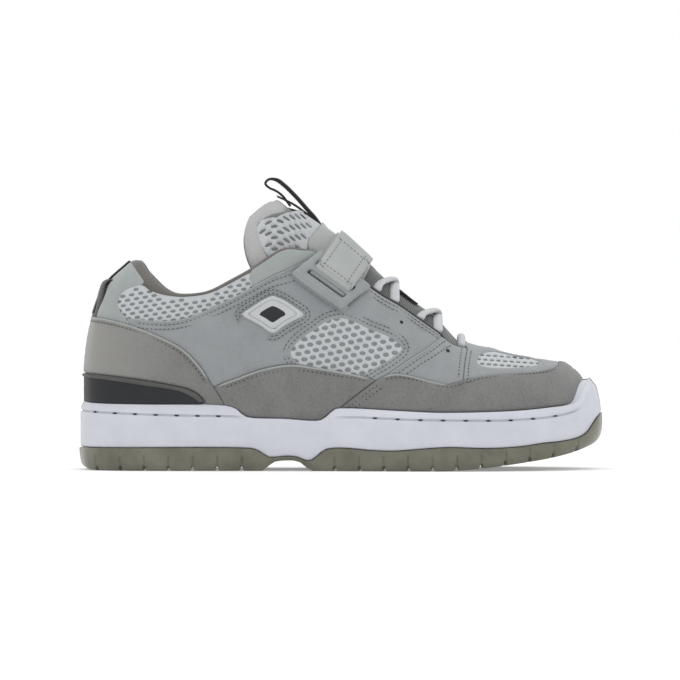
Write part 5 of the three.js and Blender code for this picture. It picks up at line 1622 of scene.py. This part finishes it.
# %% Insole
station = np.linspace(0.006, 0.985, 90)
rows = []
for share in np.linspace(-1, 1, 17):
    left = on_last(station, LATERAL, 0.03, LINING_FACE)
    right = on_last(station, MEDIAL, 0.03, LINING_FACE)
    place = left + (right - left) * (share + 1) / 2
    floor = section_at(place[:, 0] / LENGTH)[1] * FOOTBED_HEIGHT
    place[:, 2] = floor + 5.0 + 1.8 * abs(share) ** 3
    rows.append(place)
points, faces = skin(rows)
insole = make_mesh("insole_bed", points, faces, LINING, 60)
thick = insole.modifiers.new("ply", "SOLIDIFY")
thick.thickness, thick.offset = 0.003, -1
settle(insole, "knit_lining", "insole")

# %% [markdown]
# ## The tongue's cover
# The tongue is dressed in spacer net at the top, a cloth patch under the strap and, in its finish, darker
# cloth under the laces: webbing with painted shade.
# Both covers cross the ridge, so their holes are laid out along the surface itself: a side view would
# stretch them.

# %% Tongue net and patch
TONGUE_OUT = LINING_FACE - PAD_FRONT - 8 * CLEARANCE
TONGUE_NET = [(0.377, 0.915), (0.359, 0.914), (0.346, 0.903), (0.339, 0.878), (0.34, 0.85), (0.3455, 0.822),
              (0.355, 0.79), (0.368, 0.76), (0.438, 0.76), (0.4365, 0.81), (0.44, 0.835), (0.45, 0.858)]


def across_ridge(rows, rear_x, front_x):
    """Chart outline of a cover that crosses the ridge, from a side-view line in tongue shares."""
    line = np.array(rows) * (LENGTH, TONGUE_HEIGHT)
    halves = {side: drawn(line, side, out=TONGUE_OUT, lift=LINING_FACE) for side in (LATERAL, MEDIAL)}
    return np.vstack([ridge_place(rear_x), halves[LATERAL], ridge_place(front_x), halves[MEDIAL][::-1]])


def surface_table(x):
    """Distance over the surface from the ridge against chart height, at one place along the shoe."""
    share = np.linspace(1, 0.35, 400)
    points = on_last(np.full(400, ridge_place(x)[0, 0] / LENGTH), LATERAL, share, TONGUE_OUT, LINING_FACE)
    steps = np.concatenate([[0], np.cumsum(np.linalg.norm(np.diff(points, axis=0), axis=1))])
    return steps, (1 - share) * GIRTH


cover = across_ridge(TONGUE_NET, 0.421 * LENGTH, 0.461 * LENGTH)
steps, heights = surface_table(120)
unrolled = np.column_stack([cover[:, 0],
                            np.sign(cover[:, 1]) * np.interp(np.abs(cover[:, 1]), heights, steps)])
places = lattice(unrolled, (4.2, 0.0), (2.1, 3.4), 1.9, np.array((118.0, 0.0)))
rings = (places[:, None] + oval(12, 2.5, 2.5)).reshape(-1, 2)
rings = np.column_stack([rings[:, 0],
                         np.sign(rings[:, 1]) * np.interp(np.abs(rings[:, 1]), steps, heights)])
# A hole on the ridge itself would fold in the chart, so those few are left out
holes = [ring for ring in rings.reshape(len(places), 12, 2) if np.abs(ring[:, 1]).min() > 0.8]
print("tongue net:", len(holes), "holes")
made = panel("tongue_net", "ridge", cover, 0.1 - TONGUE_RECESS, 1.3 - TONGUE_RECESS, NET_WHITE,
             radius=0.5, spacing=1.4, holes=holes, rings=(0.35,),
             grid=1.4, base=tongue_base, lift=LINING_FACE)
settle(made, "spacer_mesh")

PATCH = [(0.44, 0.79), (0.437, 0.81), (0.441, 0.835), (0.451, 0.858), (0.459, 0.872)]
PATCH_FRONT = [(0.56, 0.73), (0.545, 0.66)]
patch = across_ridge(PATCH[::-1] + PATCH_FRONT[::-1], 0.461 * LENGTH, 0.565 * LENGTH)
made = panel("tongue_patch", "ridge", patch, 0.1, 1.1, TONGUE_PATCH, radius=0.6, base=tongue_base,
             lift=LINING_FACE)
settle(made, "tongue_fabric")

TAPE = [(0.376, 0.985), (0.39, 0.973), (0.41, 0.953), (0.43, 0.925), (0.455, 0.885), (0.465, 0.872)]
tape = ribbon("tongue_ridge_tape", [(x, z + 0.004) for x, z in TAPE], lambda t: 0.9, lambda t: 12.0,
              BLACK_WEBBING, 16)
settle(tape, "black_webbing")

# %% [markdown]
# ## The heel's back seam
# A band of black webbing covers the seam at the back of the heel, from the pull tab to the lining. It is
# swept up the middle of the heel, so it bends with the leather under it.

# %% Heel band and tab


def heel_band(low, high, width, thick):
    """A band up the middle of the heel, over the leather's face."""
    outline = np.array([(-width / 2, low), (width / 2, low), (width / 2, high), (-width / 2, high)])
    return panel("heel_seam_band", "heel", outline, NUBUCK - 0.2, NUBUCK + thick, BLACK_WEBBING,
                 radius=0.5, spacing=1.6)


def heel_share(z):
    return float(share_where(np.zeros(1), LATERAL, lambda p: p[..., 2] < z)[0]) * GIRTH


band = heel_band(heel_share(0.69 * COLLAR_HEIGHT), heel_share(RIM_HEIGHT - 0.4), 15.0, 1.4)
settle(band, "black_webbing")

# %% [markdown]
# ## Stitches and folded edges
# Two rows of thread hold every overlap. One small tree of geometry nodes lays a stitch on each point of a
# row and turns it along the seam, so a pitch or a thread size is one number. Copying a modelled stitch by
# hand would take hours and could not be changed. The folded edges are thin beads swept along the same runs,
# pale with a painted highlight; a dark bead along the throat is painted shadow.

# %% Runs along a seam


def seam_run(places, kind, shift, pitch, out, base=None, lift=None):
    """Points every pitch along chart places moved sideways by shift, with their directions along and out."""
    along = np.gradient(places, axis=0)
    along /= np.maximum(np.hypot(*along.T), 1e-9)[:, None]
    dense = evenly(places + shift * np.stack([-along[:, 1], along[:, 0]], -1), 0.5, closed=False)

    def placed(chart, more=0.0):
        height = np.full(len(chart), out + more) + (0 if base is None else base(chart))
        return from_chart(chart, kind, height,
                          None if lift is None else np.full(len(chart), out + more + lift))

    points = placed(dense)
    steps = np.concatenate([[0], np.cumsum(np.linalg.norm(np.diff(points, axis=0), axis=1))])
    at = np.arange(pitch / 2, steps[-1], pitch)
    chart = np.stack([np.interp(at, steps, dense[:, i]) for i in range(2)], -1)
    points = placed(chart)
    run = np.gradient(points, axis=0)
    run /= np.linalg.norm(run, axis=1)[:, None]
    turn = np.gradient(chart, axis=0)
    turn /= np.maximum(np.hypot(*turn.T), 1e-9)[:, None]
    beside = placed(chart + 0.4 * np.stack([-turn[:, 1], turn[:, 0]], -1)) - points
    up = np.cross(run, beside)
    up *= np.sign((up * (placed(chart, 0.5) - points)).sum(1))[:, None]
    up /= np.maximum(np.linalg.norm(up, axis=1), 1e-9)[:, None]
    return points, run, up


def stitch_tree():
    """Lays a rounded thread on every point, along its run."""
    tree = bpy.data.node_groups.new("stitches", "GeometryNodeTree")
    face = tree.interface
    face.new_socket("Geometry", in_out="INPUT", socket_type="NodeSocketGeometry")
    for name, value in (("Length", 0.002), ("Width", 0.0006), ("Height", 0.0005)):
        face.new_socket(name, in_out="INPUT", socket_type="NodeSocketFloat").default_value = value
    face.new_socket("Thread", in_out="INPUT", socket_type="NodeSocketMaterial")
    face.new_socket("Geometry", in_out="OUTPUT", socket_type="NodeSocketGeometry")
    new, link = tree.nodes.new, tree.links.new
    start, end = new("NodeGroupInput"), new("NodeGroupOutput")
    ball = new("GeometryNodeMeshUVSphere")
    size = new("ShaderNodeCombineXYZ")
    shape = new("GeometryNodeTransform")
    ball.inputs["Segments"].default_value, ball.inputs["Rings"].default_value = 6, 5
    ball.inputs["Radius"].default_value = 0.5
    for name, axis in (("Length", "X"), ("Width", "Y"), ("Height", "Z")):
        link(start.outputs[name], size.inputs[axis])
    link(ball.outputs["Mesh"], shape.inputs["Geometry"])
    link(size.outputs[0], shape.inputs["Scale"])
    turn = new("FunctionNodeAxesToRotation")
    turn.primary_axis, turn.secondary_axis = "Z", "X"
    for name, entry in (("up", turn.inputs[0]), ("run", turn.inputs[1])):
        read = new("GeometryNodeInputNamedAttribute")
        read.data_type = "FLOAT_VECTOR"
        read.inputs["Name"].default_value = name
        link(read.outputs["Attribute"], entry)
    lay, real = new("GeometryNodeInstanceOnPoints"), new("GeometryNodeRealizeInstances")
    smooth, paint = new("GeometryNodeSetShadeSmooth"), new("GeometryNodeSetMaterial")
    link(start.outputs["Geometry"], lay.inputs["Points"])
    link(shape.outputs["Geometry"], lay.inputs["Instance"])
    link(turn.outputs[0], lay.inputs["Rotation"])
    link(lay.outputs[0], smooth.inputs["Geometry"])
    link(smooth.outputs[0], real.inputs["Geometry"])
    link(real.outputs[0], paint.inputs["Geometry"])
    link(start.outputs["Thread"], paint.inputs["Material"])
    link(paint.outputs[0], end.inputs[0])
    return tree


STITCHES = stitch_tree()


def stitches(name, runs, length, width, height, thread):
    """Stitches on every point of the runs, as one plain mesh."""
    points, run, up = (np.vstack([r[i] for r in runs]) for i in range(3))
    mesh = bpy.data.meshes.new(name + "_points")
    mesh.from_pydata(((points - (ORIGIN_X, 0, 0)) * MM).tolist(), [], [])
    for key, values in (("run", run), ("up", up)):
        mesh.attributes.new(key, "FLOAT_VECTOR", "POINT").data.foreach_set("vector",
                values.astype(np.float32).ravel())
    seed = bpy.data.objects.new(name + "_points", mesh)
    bpy.context.scene.collection.objects.link(seed)
    laid = seed.modifiers.new("stitches", "NODES")
    laid.node_group = STITCHES
    sockets = {item.name: item.identifier for item in STITCHES.interface.items_tree if item.in_out == "INPUT"}
    for key, value in {"Length": length * MM, "Width": width * MM, "Height": height * MM,
                       "Thread": thread}.items():
        laid[sockets[key]] = value
    seed.update_tag()
    graph = bpy.context.evaluated_depsgraph_get()
    made = bpy.data.objects.new(name, bpy.data.meshes.new_from_object(seed.evaluated_get(graph)))
    bpy.data.objects.remove(seed)
    bpy.context.scene.collection.objects.link(made)
    return made


def beads(name, runs, material):
    """Thin rounded beads swept along the runs, each with its width and height."""
    everything, faces = [], []
    start = 0
    angle = np.radians([-20, 15, 50, 90, 130, 165, 200])
    for (points, run, up), width, height in runs:
        across = np.cross(up, run)
        place = np.arange(len(points))
        taper = np.minimum(1, np.minimum(place, place[::-1]) / 3 + 0.25)[:, None]
        rings = points[:, None] + across[:, None] * (width / 2 * taper * np.cos(angle))[..., None]
        rings = rings + up[:, None] * (height * taper * np.sin(angle))[..., None]
        made, strip = skin(list(rings), closed_across=True)
        faces += [tuple(v + start for v in f) for f in strip]
        everything.append(made)
        start += len(made)
    return make_mesh(name, np.vstack(everything), faces, material, 60)


# %% Thread rows
def clipped(line, x0, x1):
    return line[(line[:, 0] >= x0 * LENGTH) & (line[:, 0] <= x1 * LENGTH)]


def side_run(line, side, shift, pitch, out, kind="ridge", **more):
    return seam_run(drawn(line, side, kind), kind, shift * side, pitch, out, **more)


PITCH = 2.5
grey_runs, suede_runs = [], []
for side in (LATERAL, MEDIAL):
    line = collar_line
    for shift in (2.0, 4.2):
        grey_runs.append(side_run(clipped(line["quarter top"], 0.11, 0.44), side, shift, PITCH,
                                  NUBUCK + 0.05))
        grey_runs.append(side_run(grown(window, shift)[::-1], side, 0, PITCH, NUBUCK + 0.05))
        grey_runs.append(side_run(clipped(line["throat"], 0.47, 0.69)[::-1], side, shift, PITCH,
                                  NUBUCK + 0.05))
        grey_runs.append(side_run(line["vamp rear"], side, shift, PITCH, NUBUCK + 0.05))
    suede_runs.append(side_run(clipped(line["foxing top"], 0.27, 0.555), side, 2.1, PITCH, SUEDE + 0.05))
    suede_runs.append(side_run(clipped(line["toe wrap top"], 0.575, 0.905), side, 1.9, PITCH,
                               SUEDE + 0.05, "toe"))
    suede_runs.append(side_run(line["foxing front"], side, -2.0, PITCH, SUEDE + 0.05))
    suede_runs.append(side_run(line["foxing front"], side, -3.8, PITCH, SUEDE + 0.05))
    grey_runs.append(side_run(line["toe seam"], side, 2.0, PITCH, NUBUCK + 0.05))
    grey_runs.append(side_run(line["toe seam"], side, -2.0, PITCH, NUBUCK + 0.05))
for shift in (1.8, 3.8):
    grey_runs.append(side_run(grown(diamond(1.0), shift), LATERAL, 0, PITCH, NUBUCK + 0.05))
suede_runs.append(seam_run(round_heel(counter_top, 0.25 * LENGTH), "heel", -2.1, PITCH, SUEDE + 0.05))
print("rows of stitches:", len(grey_runs) + len(suede_runs))
for name, runs, thread, slot in (
    ("stitches_nubuck", grey_runs, THREAD_GREY, "nubuck"),
    ("stitches_suede", suede_runs, THREAD_SUEDE, "suede"),
):
    made = stitches(name, runs, 1.75, 0.6, 0.5, thread)
    settle(made, slot)
    # The needle's holes lie half a pitch along, each a dark dot of painted shade.
    holes = [(points[:-1] / 2 + points[1:] / 2, run[:-1], up[:-1]) for points, run, up in runs]
    made = stitches(name.replace("stitches", "needle_holes"), holes, 0.75, 0.75, 0.35, HOLE_DARK)
    settle(made, slot)

# %% Folded edges with a painted highlight, and the throat's painted shadow
highlight_beads, shadow_beads = [], []
for side in (LATERAL, MEDIAL):
    line = collar_line
    highlight_beads.append((side_run(clipped(line["foxing top"], 0.262, 0.565), side, 0.55, 1.5, SUEDE - 0.15),
                       1.3, 0.55))
    highlight_beads.append((side_run(clipped(line["toe wrap top"], 0.575, 0.7), side, 0.5, 1.5, SUEDE - 0.2,
                                "toe"), 1.1, 0.5))
    highlight_beads.append((side_run(line["vamp rear"], side, 0.5, 1.5, NUBUCK - 0.1), 1.1, 0.45))
    highlight_beads.append((side_run(clipped(line["quarter top"], 0.1, 0.45), side, 0.5, 1.5, NUBUCK - 0.1),
                       1.0, 0.45))
    # Painted shadow: a dark bead just inside the throat's edge, where the tongue lies in shade.
    shadow_beads.append((side_run(clipped(line["throat"], 0.47, 0.7)[::-1], side, -0.5, 1.5, NUBUCK - 0.6),
                       2.2, 0.6))
highlight_beads.append((seam_run(round_heel(counter_top, 0.25 * LENGTH), "heel", -0.55, 1.5, SUEDE - 0.15),
                   1.3, 0.55))
# The beads' pale colour is a painted highlight on the folded edges.
pale = beads("folded_edges", highlight_beads, EDGE_HIGHLIGHT)
settle(pale, "suede")
# This dark bead is painted shadow; it is settled with the black webbing.
dark = beads("throat_painted_shadow", shadow_beads, THROAT_SHADOW)
settle(dark, "black_webbing")

# %% Punched holes, groove marks and the strap's seams
def one_place(point, side, kind, out):
    """Centre, run and up of a round mark at a side-view point."""
    chart = drawn(np.array([point, point + (0.6, 0)]), side, kind)
    points, run, up = seam_run(chart, kind, 0, 0.25, out)
    return points[:1], run[:1], up[:1]


# Painted shade: each punched hole is a dark dome for the shade inside it.
PUNCHED = np.array([(0.528, 0.772), (0.6145, 0.656), (0.702, 0.529)]) * (LENGTH, COLLAR_HEIGHT)
marks = [one_place(point, side, "ridge", NUBUCK) for side in (LATERAL, MEDIAL) for point in PUNCHED]
holes = stitches("punched_holes", marks, 2.7, 2.7, 1.1, HOLE_DARK)
settle(holes, "nubuck")


def groove_place(x, side):
    """Centre, run and up of a mark in the cup's groove."""
    steps = np.interp(x + np.array((-0.5, 0, 0.5)), lateral_x if side == LATERAL else medial_x, STEPS)
    place = sole_row(steps, np.full(3, side), np.full(3, 1.2))
    run, out = place[2] - place[0], outline_point(steps[1:2], side)[2:]
    centre = (*place[1], float(groove_table(x / LENGTH)[0]) * SOLE_HEIGHT)
    return np.array([centre]), np.array([(*run, 0)]) / np.hypot(*run), np.array([(float(out[0][0]),
            float(out[1][0]), 0)])


GROOVE_MARKS = np.concatenate([np.linspace(0.03, 0.268, 7), np.linspace(0.563, 0.908, 9)]) * LENGTH
marks = [groove_place(x, side) for side in (LATERAL, MEDIAL) for x in GROOVE_MARKS]
grooves = stitches("groove_marks", marks, 3.0, 0.9, 0.7, HOLE_DARK)
settle(grooves, "white_rubber")

flap_run = strap_outline(STRAP_SLOT + 0.6, FLAP_FOOT + STRAP_PLY, end_share=0.94)
flap_rows = []
flap_rows.append(seam_run(evenly(grown(flap_run, -2.0), 1.0), "ridge", 0, PITCH,
                          FLAP_FOOT + STRAP_PLY + 0.05,
                          base=lambda p: p[:, 0] * 0, lift=-RIDGE_SINK))
made = stitches("strap_stitches", flap_rows, 1.75, 0.6, 0.5, STRAP_THREAD)
settle(made, "strap_webbing")

# %% [markdown]
# ## Studio
# The photograph is a level side view of the outer side on white paper, taken with a long lens under broad
# light.

# %% Floor, lights and camera


floor_mesh = bpy.data.meshes.new("floor")
floor_mesh.from_pydata([(-6, -6, 0), (6, -6, 0), (6, 6, 0), (-6, 6, 0)], [], [(0, 1, 2, 3)])
floor = bpy.data.objects.new("floor", floor_mesh)
bpy.context.scene.collection.objects.link(floor)
paper = Finish("paper")
grain = paper.noise(0.004, 2.0)
floor_mesh.materials.append(paper.done(
    paper.mix(grain, linear(250, 250, 250), linear(254, 254, 254)), 0.95, Emission_Color=(1, 1, 1, 1),
    Emission_Strength=0.24,
))
floor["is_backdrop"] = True

bpy.context.scene.view_settings.view_transform = "Standard"
world = bpy.data.worlds.new("studio")
bpy.context.scene.world = world
world.use_nodes = True
world.node_tree.nodes["Background"].inputs["Color"].default_value = (1, 1, 1, 1)
world.node_tree.nodes["Background"].inputs["Strength"].default_value = 1.0


def lamp(name, place, aim, size, watts):
    data = bpy.data.lights.new(name, "AREA")
    data.shape, data.size, data.energy = "DISK", size, watts
    made = bpy.data.objects.new(name, data)
    made.location = place
    made.rotation_euler = (Vector(aim) - Vector(place)).to_track_quat("-Z", "Y").to_euler()
    bpy.context.scene.collection.objects.link(made)


lamp("key", (0.3, -1.3, 1.6), (0.12, 0, 0.05), 0.9, 3.5)
lamp("top", (0.1, 0.2, 1.7), (0.1, 0, 0.05), 0.9, 5.0)

FOCAL, SENSOR = 400.0, 36.0
SEEN_WIDTH = 391.9 * MM
DISTANCE = SEEN_WIDTH * FOCAL / SENSOR
camera_data = bpy.data.cameras.new("camera")
camera_data.lens, camera_data.sensor_width = FOCAL, SENSOR
camera = bpy.data.objects.new("camera", camera_data)
bpy.context.scene.collection.objects.link(camera)
bpy.context.scene.camera = camera
AIM = Vector((0.1191, 0, 0.0744))
LOOK_DOWN = math.radians(0.6)
camera.location = AIM + Vector((0, -math.cos(LOOK_DOWN), math.sin(LOOK_DOWN))) * DISTANCE
camera.rotation_euler = (AIM - camera.location).to_track_quat("-Z", "Y").to_euler()

# %% Scene bounds
low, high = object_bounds()
print("scene box", [round(c, 4) for c in low], [round(c, 4) for c in high])
